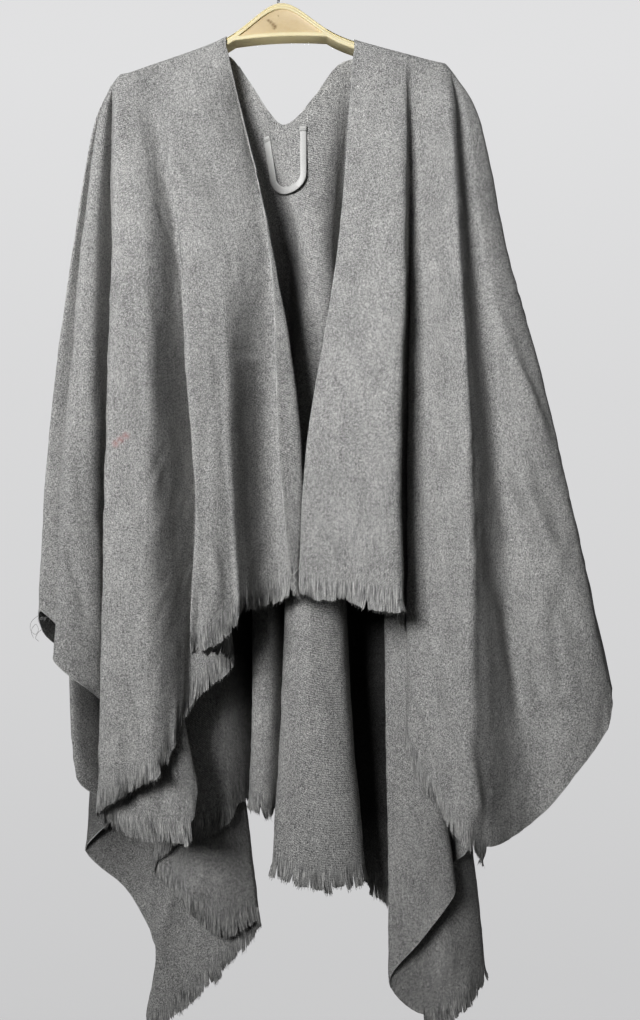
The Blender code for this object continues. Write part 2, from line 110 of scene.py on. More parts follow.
FRONT_RIGHT = (
    ("slit edge",       85, (66, -40), (29, -60), (20, -66, -763)),
    ("beside slit",     97, (82, -45), (50, -69), (43, -76, -771)),
    ("chest",          116, (104, -52), (81, -79), (73, -86, -770)),
    ("face",           135, (127, -58), (112, -88), (109, -97, -780)),
    ("ridge",          146, (141, -57), (133, -90), (135, -100, -782)),
    ("turned in",      149, (144, -34), (137, -32), (137, -34, -800)),
    ("deep tuck",      153, (151, -12), (158, 14), (169, 20, -857)),
    ("drape edge",     160, (157, -20), (149, -22), (146, -48, -940)),
    ("drape face",     174, (177, -40), (176, -47), (175, -77, -1004)),
    ("outer ridge",    190, (202, -62), (212, -82), (212, -96, -1048)),
    ("corner",         196, (209, -54), (221, -70), (233, -84, -1067)),
    ("valley",         199, (221, -24), (251, -26), (290, -44, -1033)),
    ("wing",           203, (241, -24), (285, -42), (338, -54, -974)),
    ("outline",        206, (267, -10), (325, -26), (383, -40, -909)),
    ("wing tuck",      209, (264, 18), (316, 20), (367, 16, -800)),
    ("shoulder ray",   212.3, (246, 26), (288, 34), (321, 32, -775)),
)
# The back also has its section at the hip, where the line reaches that far.
BACK = (
    # fold              along   chest       waist       hip          edge
    ("shoulder ray L", -212.3, (-253, 32), (-284, 44), None, (-299, 46, -820)),
    ("tuck L",         -208.5, (-249, 56), (-274, 84), None, (-273, 90, -866)),
    ("tube L",         -205,   (-240, 40), (-253, 34), (-263, 24), (-256, 22, -996)),
    ("tube inside",    -203.5, (-232, 50), (-238, 60), (-226, 66), (-210, 58, -1047)),
    ("sliver",         -202, (-227, 64), (-238, 92), (-244, 100), (-253, 88, -1104)),
    ("selvedge 1",     -201, (-220, 66), (-220, 100), (-216, 112), (-200, 96, -1161)),
    ("selvedge 2",     -200, (-213, 64), (-202, 98), (-187, 110), (-158, 84, -1255)),
    ("corner L",       -199, (-206, 60), (-190, 94), (-160, 104), (-178, 74, -1333)),
    ("hem 1",          -196, (-198, 58), (-176, 92), (-149, 100), (-125, 74, -1298)),
    ("hem 2",          -190,   (-188, 52), (-150, 80), (-109, 85), (-79, 66, -1250)),
    ("inner fold",     -182,   (-178, 50), (-128, 78), (-73, 80), (-31, 68, -1189)),
    ("tip",            -176,   (-170, 42), (-132, 62), (-91, 60), (-77, 42, -1196)),
    ("hem 3",          -169,   (-162, 39), (-150, 58), (-128, 58), (-122, 40, -1156)),
    ("turn",           -161,   (-152, 40), (-168, 57), (-160, 60), (-162, 48, -1114)),
    ("dark panel 1",   -152,   (-142, 40), (-148, 44), (-146, 40), (-130, 30, -1079)),
    ("dark panel 2",   -130,   (-118, 38), (-110, 46), (-92, 42), (-77, 34, -1062)),
    ("dark panel 3",   -108,   (-98, 44), (-80, 58), (-66, 58), (-56, 54, -1032)),
    ("crevice L",       -94,   (-81, 60), (-52, 98), (-36, 112), (-29, 102, -1045)),
    ("strip edge",      -82,   (-56, 38), (-41, 32), (-36, 26), (-42, 20, -1035)),
    ("strip",           -67,   (-30, 33), (-19, 26), (-17, 22), (-20, 18, -1039)),
    ("strip valley",    -42, (0, 63), (0, 92), (4, 79), (6, 63, -1042)),
    ("lobe edge L",     -18,   (14, 48), (6, 25), (1, 12), (-12, -3, -1101)),
    ("lobe round",       -2,   (20, 35), (14, 16), (12, 3), (4, -11, -1108)),
    ("lobe 1",           12,   (29, 29), (24, 12), (25, -2), (21, -16, -1114)),
    ("lobe 2",           40,   (46, 29), (47, 14), (54, -2), (61, -14, -1120)),
    ("lobe edge R",      66,   (60, 44), (65, 24), (75, 12), (95, 0, -1113)),
    ("crevice R",        85, (70, 82), (79, 104), (89, 124), (102, 112, -1153)),
    ("inner R",          98, (92, 66), (109, 90), (118, 110), (125, 100, -1170)),
    ("behind R",        114, (114, 60), (147, 98), (174, 114), (194, 106, -1225)),
    ("outer fold R",    132, (132, 56), (185, 90), (218, 100), (256, 86, -1264)),
    ("hem R",           144,   (141, 43), (172, 62), (198, 68), (224, 54, -1295)),
    ("corner R",        154,   (148, 39), (152, 56), (167, 60), (173, 44, -1313)),
    ("inner fold R",    164,   (154, 36), (129, 47), (126, 44), (130, 30, -1248)),
    ("turned face",     176,   (164, 31), (150, 34), (152, 32), (171, 20, -1188)),
    ("turned edge",     187,   (174, 32), (172, 29), (172, 28), (211, 21, -1131)),
    ("tuck R",          194, (186, 54), (191, 68), (194, 70), (208, 60, -1116)),
    ("back wing",       200,   (197, 37), (214, 38), (222, 41), (227, 38, -1088)),
    ("back wing tuck",  206, (222, 54), (271, 76), None, (298, 80, -930)),
    ("shoulder ray R",  212.3, (246, 26), (288, 34), None, (321, 32, -775)),
)


# ------------------------------------------------------------------ curves
def hanger_top(x):
    """Height of the hanger's upper edge at x, all in millimetres."""
    d = x + 2.0
    arm = ARM_SLOPE * (math.hypot(d, 25.0) - 25.0)
    arch = ARCH_DROP * (1.0 - math.exp(-((d / ARCH_SPREAD) ** 2)))
    return HANGER_TOP - arm - arch + TILT * x


def neckline(x):
    """Height of the back neckline at x: a rounded V, steeper on its left."""
    slope = 1.65 if x < 0 else 1.35
    return NECK_POINT - NECK_ROUND + math.hypot(NECK_ROUND, slope * x)


def catmull(p, at):
    """Centripetal Catmull-Rom through p[1:-1] along axis 0, at the parameters at."""
    at = np.asarray(at, float)
    k = np.minimum(at.astype(int), len(p) - 4)
    f = (at - k).reshape((-1,) + (1,) * (p.ndim - 1))
    a, b, c, d = p[k], p[k + 1], p[k + 2], p[k + 3]

    def knot(u, v):
        return np.maximum(np.linalg.norm(v - u, axis=-1, keepdims=True), 1e-6) ** 0.5

    ta = 0.0
    tb = knot(a, b)
    tc = tb + knot(b, c)
    td = tc + knot(c, d)
    t = tb + f * (tc - tb)
    ab = (tb - t) / (tb - ta) * a + (t - ta) / (tb - ta) * b
    bc = (tc - t) / (tc - tb) * b + (t - tb) / (tc - tb) * c
    cd = (td - t) / (td - tc) * c + (t - tc) / (td - tc) * d
    abc = (tc - t) / (tc - ta) * ab + (t - ta) / (tc - ta) * bc
    bcd = (td - t) / (td - tb) * bc + (t - tb) / (td - tb) * cd
    return (tc - t) / (tc - tb) * abc + (t - tb) / (tc - tb) * bcd


def with_ends(p):
    return np.concatenate([2 * p[:1] - p[1:2], p, 2 * p[-1:] - p[-2:-1]])


def rim_points(along, front):
    """The line's first points, over the hanger's top and down past its edge."""
    side = -1.0 if front else 1.0
    hand = math.copysign(1.0, along)
    turn = max(abs(along) - TIP, 0.0) / (212.3 - TIP) * math.pi / 2
    x0 = hand * min(abs(along), TIP)
    points = []
    for reach, rise in RIM_ROWS:
        x = x0 + hand * reach * math.sin(turn)
        y = side * reach * math.cos(turn)
        points.append((x, y, hanger_top(x0) + rise))
    points[0] = (x0, 0.0, hanger_top(x0) + RIM_ROWS[0][1])
    if turn > 0:
        x, y, z = points[-1]
        points[-1] = (x + hand * WING_FLARE * math.sin(turn), y, z)
    return points


RIM_FINE = 8
RAVEL = 7.0           # the last picks have worked loose, so the fringe starts higher
CORNER_LEFT, CORNER_RIGHT, CORNER_REAR = 199.5, 196.0, (199.0, 154.0)


def fold_line(row, front, count, nudges=()):
    """One fold from its top to the cloth's edge, as rim points and count even steps.
    nudges: (height, reach, dx, dy) moves the line aside near a height."""
    along, levels, edge = row[1], row[2:-1], row[-1]
    on_neck = not front and LEFT_CONTACT < along < RIGHT_CONTACT
    if on_neck:
        head = [(along, 16.5 + 4.0 * (1 - abs(along) / 85.0), neckline(along))]
    else:
        head = rim_points(along, front)
    body = [head[-1]]
    if abs(along) > TIP:
        share, (x, y, z) = SHOULDER_SHARE, head[-1]
        chest = levels[0]
        body.append((x + share * (chest[0] - x), y + share * (chest[1] - y), z - SHOULDER_DROP))
    for level, z in zip(levels, (CHEST, WAIST, HIP)):
        if level is not None:
            body.append((level[0], level[1], z))
    body.append(edge)
    fine = catmull(with_ends(np.array(body, float)), np.linspace(0, len(body) - 1, 90 * (len(body) - 1) + 1))
    top, foot = fine[0, 2], fine[-1, 2]
    for height, reach, dx, dy in nudges:
        near = np.exp(-(((fine[:, 2] - height) / reach) ** 2))
        near = near * np.clip((top - fine[:, 2]) / 60.0, 0, 1)
        fine[:, 0] += dx * near
        fine[:, 1] += dy * near
    length = np.concatenate([[0], np.cumsum(np.linalg.norm(np.diff(fine, axis=0), axis=1))])
    # Only the two short sides of the cloth are fringed: elsewhere it ends in a selvedge.
    ragged = abs(along) <= (CORNER_LEFT if along < 0 else CORNER_RIGHT) if front else -CORNER_REAR[0] <= along <= CORNER_REAR[1]
    at = np.linspace(0, 1, count + 1)[1:] * (length[-1] - (FRINGE + RAVEL if ragged else 0.0))
    even = np.array([np.interp(at, length, fine[:, i]) for i in range(3)]).T
    if on_neck:
        first = np.array([head[-1]] * RIM_FINE)
    else:
        first = catmull(with_ends(np.array(head, float)), np.linspace(0, len(head) - 1, RIM_FINE))
    return {"name": row[0], "along": along, "neck": on_neck, "points": np.vstack([first, even]), "tail": fine[-1]}


def developed(grid, at, lines, front):
    """Where the points lie on the cloth laid flat, in millimetres: lines that fall
    straight under the arm lie side by side, and those past its end are rays from its
    tip.  Lengths come from the hung cloth, so the weave keeps its size everywhere."""
    rows, columns = grid.shape[:2]
    down = np.concatenate([np.zeros((1, columns)), np.cumsum(np.linalg.norm(np.diff(grid, axis=0), axis=2), axis=0)])
    apart = np.linalg.norm(np.diff(grid, axis=1), axis=2)
    reach = (down[:, 1:] + down[:, :-1]) / 2
    along = np.interp(at, range(len(lines)), [line["along"] for line in lines])
    mid = (along[1:] + along[:-1]) / 2
    body = slice(RIM_FINE, None)
    straight = apart[body].mean(axis=0)
    turned = (apart * reach)[body].sum(axis=0) / (reach**2)[body].sum(axis=0)
    under = np.abs(mid) <= TIP
    flat = np.zeros((rows, columns, 2))
    # Each stretch of columns is laid beside the one before it.
    x = np.zeros(columns)
    angle = np.zeros(columns)
    for c in range(columns - 1):
        x[c + 1] = x[c] + (straight[c] if under[c] else 0.0)
        angle[c + 1] = angle[c] + (0.0 if under[c] else turned[c])
    if not front and not under.all():
        first = np.argmax(under)
        angle -= angle[first]
    sign = -1.0 if lines[0]["along"] < 0 and front else 1.0
    flat[..., 0] = sign * (x[None] + down * np.sin(angle)[None])
    flat[..., 1] = down * np.cos(angle)[None]
    flat[..., 0] += lines[0]["along"]
    if not front:
        flat[..., 1] *= -1.0
    return flat


def panel(lines, front, count, step, before=None, after=None):
    """The panel's grid of points, its flat places and its fringe's ends."""
    P = np.array([line["points"] for line in lines])
    T = np.array([line["tail"] for line in lines])
    pads = []
    for end, near in ((before, 0), (after, -1)):
        if end is None:
            k = 1 if near == 0 else -2
            pads.append((2 * P[near] - P[k], 2 * T[near] - T[k]))
        else:
            pads.append((end["points"], end["tail"]))
    P = np.concatenate([pads[0][0][None], P, pads[1][0][None]])
    T = np.concatenate([pads[0][1][None], T, pads[1][1][None]])
    at = [0.0]
    for k in range(len(lines) - 1):
        gap = np.linalg.norm(P[k + 1] - P[k + 2], axis=1)
        n = max(2, int(round((0.5 * gap.max() + 0.5 * gap.mean()) / step)))
        at += [k + (i + 1) / n for i in range(n)]
    at = np.array(at)
    grid = catmull(P, at)                      # columns, rows, 3
    tails = catmull(T, at)
    grid = grid.transpose(1, 0, 2)
    return {"at": at, "grid": grid, "tails": tails, "flat": developed(grid, at, lines, front), "lines": lines}


# ------------------------------------------------------------------ relief
def value_noise(u, v, seed):
    """Smooth noise between -1 and 1 with cells one unit wide."""
    table = np.random.default_rng(seed).uniform(-1, 1, (128, 128))
    iu, iv = np.floor(u).astype(int), np.floor(v).astype(int)
    fu, fv = u - iu, v - iv
    fu, fv = fu * fu * fu * (fu * (fu * 6 - 15) + 10), fv * fv * fv * (fv * (fv * 6 - 15) + 10)
    iu, iv = iu % 128, iv % 128
    ju, jv = (iu + 1) % 128, (iv + 1) % 128
    top = table[iu, iv] * (1 - fu) + table[ju, iv] * fu
    low = table[iu, jv] * (1 - fu) + table[ju, jv] * fu
    return top * (1 - fv) + low * fv


def normals(grid, front):
    """Unit normals of a grid, out of the outer face of the cloth."""
    du = np.gradient(grid, axis=1)
    dv = np.gradient(grid, axis=0)
    n = np.cross(du, dv)
    n /= np.maximum(np.linalg.norm(n, axis=2, keepdims=True), 1e-9)
    return n if (n[..., 1].mean() < 0) == front else -n


def crease(p, path, width, depth, skew=1.0, fade=0.25):
    """A soft trough (depth < 0) or ridge along a path, by place in the front view.
    skew widens it on the path's right; fade is the share of it that dies out at an end."""
    x, z = p[..., 0], p[..., 2]
    path = np.array(path, float)
    seg = np.diff(path, axis=0)
    size = np.linalg.norm(seg, axis=1)
    total, run = size.sum(), np.concatenate([[0], np.cumsum(size)])
    best, side, where = np.full(x.shape, 1e9), np.zeros(x.shape), np.zeros(x.shape)
    for (px, pz), (sx, sz), s, r in zip(path[:-1], seg, size, run):
        t = np.clip(((x - px) * sx + (z - pz) * sz) / (s * s), 0, 1)
        qx, qz = x - px - t * sx, z - pz - t * sz
        d = np.hypot(qx, qz)
        near = d < best
        best = np.where(near, d, best)
        side = np.where(near, sx * qz - sz * qx, side)
        where = np.where(near, (r + t * s) / total, where)
    w = np.where(side > 0, width, width * skew)
    shape = np.exp(-((best / w) ** 2))
    ends = np.clip(where / fade, 0, 1) * np.clip((1 - where) / fade, 0, 1)
    ends = ends * ends * (3 - 2 * ends)
    return depth * shape * ends


# ------------------------------------------------------------------ meshes
def add(name, mesh, mat, body="root"):
    obj = bpy.data.objects.new(name, mesh)
    for m in mat if isinstance(mat, (list, tuple)) else [mat]:
        obj.data.materials.append(m)
    bpy.context.scene.collection.objects.link(obj)
    if body:
        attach(obj, body)
    return obj


def mesh_of(name, points, faces, uv=None, smooth=True):
    """A mesh from points in millimetres (hanger's middle at x 0) and faces."""
    mesh = bpy.data.meshes.new(name)
    pts = np.asarray(points, float) * MM
    pts = pts + np.array([HOOK_OFFSET * MM, 0, 0])
    mesh.from_pydata(pts.tolist(), [], [tuple(int(i) for i in f) for f in faces])
    if uv is not None:
        layer = mesh.uv_layers.new(name="flat")
        index = np.empty(len(mesh.loops), np.int32)
        mesh.loops.foreach_get("vertex_index", index)
        layer.data.foreach_set("uv", (np.asarray(uv, float)[index] * MM).astype(np.float32).ravel())
    mesh.polygons.foreach_set("use_smooth", [smooth] * len(mesh.polygons))
    mesh.update()
    return mesh


def grid_faces(rows, columns, skip=None):
    r, c = np.meshgrid(np.arange(rows - 1), np.arange(columns - 1), indexing="ij")
    r, c = r.ravel(), c.ravel()
    if skip is not None:
        keep = ~skip[r, c]
        r, c = r[keep], c[keep]
    a = r * columns + c
    return np.stack([a, a + 1, a + columns + 1, a + columns], 1)


def shell_mesh(name, points, normal, faces, uv, wall):
    """A closed thin shell on both sides of a surface, its rim with hard edges."""
    used = np.unique(faces)
    index = np.full(len(points), -1)
    index[used] = np.arange(len(used))
    points, normal, uv, faces = points[used], normal[used], uv[used], index[faces]
    n = len(points)
    if np.ndim(wall):
        wall = wall[used][:, None]
    turn = np.cross(points[faces[:, 2]] - points[faces[:, 0]], points[faces[:, 3]] - points[faces[:, 1]])
    if (turn * normal[faces[:, 0]]).sum() < 0:
        faces = faces[:, ::-1]
    ends = np.concatenate([faces[:, [i, (i + 1) % 4]] for i in range(4)])
    key = np.sort(ends, axis=1)
    _, first, inverse, times = np.unique(key, axis=0, return_index=True, return_inverse=True, return_counts=True)
    rim = ends[first[times == 1]]
    outer, inner = points + normal * wall / 2, points - normal * wall / 2
    both = np.concatenate([outer, inner])
    all_faces = np.concatenate([faces, faces[:, ::-1] + n, np.stack([rim[:, 1], rim[:, 0], rim[:, 0] + n, rim[:, 1] + n], 1)])
    mesh = mesh_of(name, both, all_faces, np.concatenate([uv, uv]))
    edges = np.empty(len(mesh.edges) * 2, np.int32)
    mesh.edges.foreach_get("vertices", edges)
    edges = np.sort(edges.reshape(-1, 2), axis=1)
    code = edges[:, 0].astype(np.int64) * (2 * n) + edges[:, 1]
    low = np.sort(rim, axis=1)
    hard = np.concatenate([low[:, 0] * (2 * n) + low[:, 1], (low[:, 0] + n) * (2 * n) + low[:, 1] + n])
    sharp = mesh.attributes.new("sharp_edge", "BOOLEAN", "EDGE")
    sharp.data.foreach_set("value", np.isin(code, hard))
    return mesh


def compact(points, faces, uv):
    used = np.unique(faces)
    index = np.full(len(points), -1)
    index[used] = np.arange(len(used))
    return points[used], index[faces], uv[used]


def tubes(paths, radii, sides=3, uvs=None):
    """Points, faces and flat places of many thin tubes. paths: a list of (n, 3)."""
    pts, faces, out_uv, base = [], [], [], 0
    angle = np.arange(sides) * 2 * math.pi / sides
    for k, (path, radius) in enumerate(zip(paths, radii)):
        path = np.asarray(path, float)
        n = len(path)
        radius = np.broadcast_to(radius, (n,)).reshape(-1, 1, 1)
        ahead = np.gradient(path, axis=0)
        ahead /= np.maximum(np.linalg.norm(ahead, axis=1, keepdims=True), 1e-9)
        ref = np.array([0.31, 0.93, 0.2]) if abs(ahead[0] @ np.array([0.31, 0.93, 0.2])) < 0.9 else np.array([1.0, 0, 0])
        a = np.cross(ahead, ref)
        a /= np.linalg.norm(a, axis=1, keepdims=True)
        b = np.cross(ahead, a)
        ring = path[:, None] + radius * (a[:, None] * np.cos(angle)[:, None] + b[:, None] * np.sin(angle)[:, None])
        pts.append(ring.reshape(-1, 3))
        for i in range(n - 1):
            for j in range(sides):
                q = (j + 1) % sides
                faces.append((base + i * sides + j, base + i * sides + q, base + (i + 1) * sides + q, base + (i + 1) * sides + j))
        faces.append(tuple(base + j for j in reversed(range(sides))))
        faces.append(tuple(base + (n - 1) * sides + j for j in range(sides)))
        if uvs is not None:
            out_uv.append(np.repeat(np.asarray(uvs[k], float), sides, axis=0))
        base += n * sides
    return np.concatenate(pts), faces, np.concatenate(out_uv) if uvs is not None else None
# ------------------------------------------------------------------ materials
class Nodes:
    """A short way to write a material's nodes."""

    def __init__(self, name):
        self.mat = bpy.data.materials.new(name)
        self.mat.use_nodes = True
        self.tree = self.mat.node_tree
        self.shader = self.tree.nodes["Principled BSDF"]

    def new(self, kind, **settings):
        node = self.tree.nodes.new(kind)
        for key, value in settings.items():
            setattr(node, key, value)
        return node

    def link(self, a, b):
        self.tree.links.new(a, b)

    def flat(self, scale=(1, 1, 1), turn=0.0, shift=(0, 0, 0)):
        """The cloth's flat place in metres, scaled and turned."""
        uv = self.new("ShaderNodeUVMap", uv_map="flat")
        mapping = self.new("ShaderNodeMapping")
        mapping.inputs["Location"].default_value = shift
        mapping.inputs["Rotation"].default_value = (0, 0, turn)
        mapping.inputs["Scale"].default_value = scale
        self.link(uv.outputs["UV"], mapping.inputs["Vector"])
        return mapping.outputs["Vector"]

    def place(self, scale=(1, 1, 1)):
        co = self.new("ShaderNodeTexCoord")
        mapping = self.new("ShaderNodeMapping")
        mapping.inputs["Scale"].default_value = scale
        self.link(co.outputs["Object"], mapping.inputs["Vector"])
        return mapping.outputs["Vector"]

    def noise(self, vector, scale, detail=2.0, rough=0.5, twist=0.0):
        node = self.new("ShaderNodeTexNoise")
        node.inputs["Scale"].default_value = scale
        node.inputs["Detail"].default_value = detail
        node.inputs["Roughness"].default_value = rough
        node.inputs["Distortion"].default_value = twist
        self.link(vector, node.inputs["Vector"])
        return node.outputs["Fac"]

    def math(self, kind, a, b=None, c=None, clamp=False):
        node = self.new("ShaderNodeMath", operation=kind, use_clamp=clamp)
        for socket, value in zip(node.inputs, (a, b, c)):
            if value is None:
                continue
            if isinstance(value, (int, float)):
                socket.default_value = value
            else:
                self.link(value, socket)
        return node.outputs[0]

    def ramp(self, value, stops, mode="LINEAR"):
        node = self.new("ShaderNodeValToRGB")
        node.color_ramp.interpolation = mode
        points = node.color_ramp.elements
        while len(points) < len(stops):
            points.new(0.5)
        for point, (at, colour) in zip(points, stops):
            point.position = at
            point.color = (*colour, 1) if len(colour) == 3 else colour
        self.link(value, node.inputs["Fac"])
        return node.outputs["Color"]

    def mix(self, factor, a, b, kind="MIX"):
        node = self.new("ShaderNodeMix", data_type="RGBA", blend_type=kind)
        for socket, value in ((node.inputs[0], factor), (node.inputs[6], a), (node.inputs[7], b)):
            if isinstance(value, (int, float)):
                socket.default_value = value
            elif isinstance(value, tuple):
                socket.default_value = (*value, 1)
            else:
                self.link(value, socket)
        return node.outputs[2]

    def bump(self, height, strength, distance):
        node = self.new("ShaderNodeBump")
        node.inputs["Strength"].default_value = strength
        node.inputs["Distance"].default_value = distance
        self.link(height, node.inputs["Height"])
        return node.outputs["Normal"]

    def set(self, **values):
        for key, value in values.items():
            self.shader.inputs[key.replace("_", " ")].default_value = value


GREY = 0.36           # mean reflectance of the wool


def melange(name, tint=1.0, stain=False, painted_fold_shade=False):
    """Grey melange twill with a short nap: dark and light fibres spun together.  Towards
    the hem the picks have worked out, and the warp shows as fine streaks."""
    n = Nodes(name)
    fibre = n.noise(n.place((1.0, 1.0, 0.9)), 1120.0, 3.0, 0.85)
    slub = n.noise(n.place((1.0, 1.0, 0.6)), 560.0, 1.0, 0.6)
    cloud = n.noise(n.place((1.0, 1.0, 0.6)), 42.0, 3.0, 0.55)
    patch = n.noise(n.place((1.0, 1.0, 0.5)), 9.0, 2.0, 0.5)
    streak = n.noise(n.flat((1.0, 0.03, 1), shift=(1.2, 9.4, 0)), 520.0, 1.0, 0.5)
    warp = n.noise(n.flat((1.0, 0.035, 1)), 1150.0, 2.0, 0.7)
    twill = n.new("ShaderNodeTexWave", wave_type="BANDS", bands_direction="X", wave_profile="SIN")
    n.link(n.flat((1, 1, 1), turn=math.radians(-38)), twill.inputs["Vector"])
    twill.inputs["Scale"].default_value = 2 * math.pi / (0.0017 * 20)
    twill.inputs["Distortion"].default_value = 1.6
    twill.inputs["Detail"].default_value = 1.0
    twill.inputs["Detail Scale"].default_value = 3.0
    rib = twill.outputs["Fac"]
    hem = n.new("ShaderNodeAttribute", attribute_type="GEOMETRY", attribute_name="ravelled").outputs["Fac"]
    value = n.math("MULTIPLY_ADD", fibre, 4.5, -2.25)
    value = n.math("MULTIPLY_ADD", n.math("SUBTRACT", slub, 0.5), 0.55, value)
    value = n.math("MULTIPLY_ADD", n.math("SUBTRACT", cloud, 0.5), 0.30, value)
    value = n.math("MULTIPLY_ADD", n.math("SUBTRACT", patch, 0.5), 0.22, value)
    value = n.math("MULTIPLY_ADD", n.math("SUBTRACT", streak, 0.5), 0.20, value)
    value = n.math("MULTIPLY_ADD", n.math("SUBTRACT", rib, 0.5), 0.22, value)
    less = n.math("MULTIPLY_ADD", hem, -0.62, 1.0)
    value = n.math("MULTIPLY", value, less)
    value = n.math("MULTIPLY_ADD", n.math("MULTIPLY_ADD", warp, 2.1, -1.05), hem, value)
    value = n.math("ADD", value, 0.5, clamp=True)
    g = GREY * tint
    colour = n.ramp(value, (
        (0.0, (g * 0.20, g * 0.20, g * 0.205)),
        (0.42, (g * 0.74, g * 0.74, g * 0.735)),
        (0.62, (g * 1.18, g * 1.175, g * 1.15)),
        (1.0, (g * 2.15, g * 2.13, g * 2.08)),
    ))
    if stain:
        near = None
        for spot in stain:
            far = n.new("ShaderNodeVectorMath", operation="DISTANCE")
            n.link(n.place((1, 0, 1)), far.inputs[0])
            far.inputs[1].default_value = (spot[0], 0, spot[1])
            edge = n.math("MULTIPLY_ADD", slub, 0.004, far.outputs["Value"])
            here = n.math("MULTIPLY_ADD", edge, -170.0, 1.35, clamp=True)
            near = here if near is None else n.math("MAXIMUM", near, here)
        colour = n.mix(n.math("MULTIPLY", near, 0.34), colour, (0.60, 0.20, 0.19))
    if painted_fold_shade:
        # Painted shade: deep inside the folds, below the waist, the inner face is painted darker, standing in for the
        # shadow there.
        where, facing = n.new("ShaderNodeSeparateXYZ"), n.new("ShaderNodeSeparateXYZ")
        n.link(n.place(), where.inputs[0])
        n.link(n.new("ShaderNodeNewGeometry").outputs["Normal"], facing.inputs[0])
        deep = n.math("MULTIPLY_ADD", where.outputs["Y"], 14.0, -0.55, clamp=True)
        below = n.math("MULTIPLY_ADD", where.outputs["Z"], -12.0, -6.6, clamp=True)
        above = n.math("MULTIPLY_ADD", where.outputs["Z"], 10.0, 11.6, clamp=True)
        inner = n.math("MULTIPLY_ADD", facing.outputs["Y"], -8.0, 0.5, clamp=True)
        shade = n.math("MULTIPLY", n.math("MULTIPLY", deep, below), n.math("MULTIPLY", above, inner))
        colour = n.mix(n.math("MULTIPLY", shade, 0.86), colour, (0.012, 0.012, 0.012))
    n.link(colour, n.shader.inputs["Base Color"])
    height = n.math("MULTIPLY_ADD", fibre, 0.6, n.math("MULTIPLY", rib, 0.45))
    height = n.math("MULTIPLY_ADD", slub, 0.5, height)
    height = n.math("MULTIPLY_ADD", n.math("MULTIPLY", warp, hem), 1.6, height)
    n.link(n.bump(height, 0.55, 0.0006), n.shader.inputs["Normal"])
    n.set(Roughness=0.92, Sheen_Weight=0.12, Sheen_Roughness=0.6, Specular_IOR_Level=0.18)
    n.shader.inputs["Sheen Tint"].default_value = (0.9, 0.9, 0.9, 1)
    return n.mat


def yarn(name, light=1.0):
    """Loose yarn: the same fibres, lying side by side along the warp."""
    n = Nodes(name)
    strand = n.noise(n.flat((1.0, 0.035, 1)), 1150.0, 2.0, 0.7)
    fibre = n.noise(n.place(), 980.0, 2.0, 0.7)
    value = n.math("MULTIPLY_ADD", strand, 1.7, -0.85)
    value = n.math("MULTIPLY_ADD", n.math("SUBTRACT", fibre, 0.5), 1.3, value)
    value = n.math("ADD", value, 0.5, clamp=True)
    g = GREY * light
    colour = n.ramp(value, ((0.0, (g * 0.35, g * 0.35, g * 0.355)), (0.45, (g * 0.9, g * 0.9, g * 0.89)), (1.0, (g * 1.95, g * 1.94, g * 1.9))))
    n.link(colour, n.shader.inputs["Base Color"])
    n.link(n.bump(strand, 0.7, 0.0008), n.shader.inputs["Normal"])
    n.set(Roughness=0.9, Sheen_Weight=0.12, Specular_IOR_Level=0.18)
    return n.mat


def white_thread():
    n = Nodes("pale_thread")
    twist = n.noise(n.place(), 1800.0, 1.0)
    n.link(n.ramp(twist, ((0.3, (0.52, 0.52, 0.50)), (0.7, (0.80, 0.80, 0.78)))), n.shader.inputs["Base Color"])
    n.link(n.bump(twist, 0.3, 0.0002), n.shader.inputs["Normal"])
    n.set(Roughness=0.7)
    return n.mat


def satin_tape():
    """Woven tape: fine lengthwise ribs with a dull shine."""
    n = Nodes("satin_tape")
    rib = n.new("ShaderNodeTexWave", wave_type="BANDS", bands_direction="X", wave_profile="SIN")
    n.link(n.flat(), rib.inputs["Vector"])
    rib.inputs["Scale"].default_value = 2 * math.pi / (0.00075 * 20)
    rib.inputs["Distortion"].default_value = 0.3
    grain = n.noise(n.flat((1, 0.3, 1)), 1600.0, 2.0)
    value = n.math("MULTIPLY_ADD", rib.outputs["Fac"], 0.35, n.math("MULTIPLY", grain, 0.65))
    n.link(n.ramp(value, ((0.15, (0.42, 0.42, 0.41)), (0.75, (0.68, 0.68, 0.665)))), n.shader.inputs["Base Color"])
    n.link(n.bump(value, 0.35, 0.0002), n.shader.inputs["Normal"])
    n.set(Roughness=0.42, Sheen_Weight=0.1)
    return n.mat


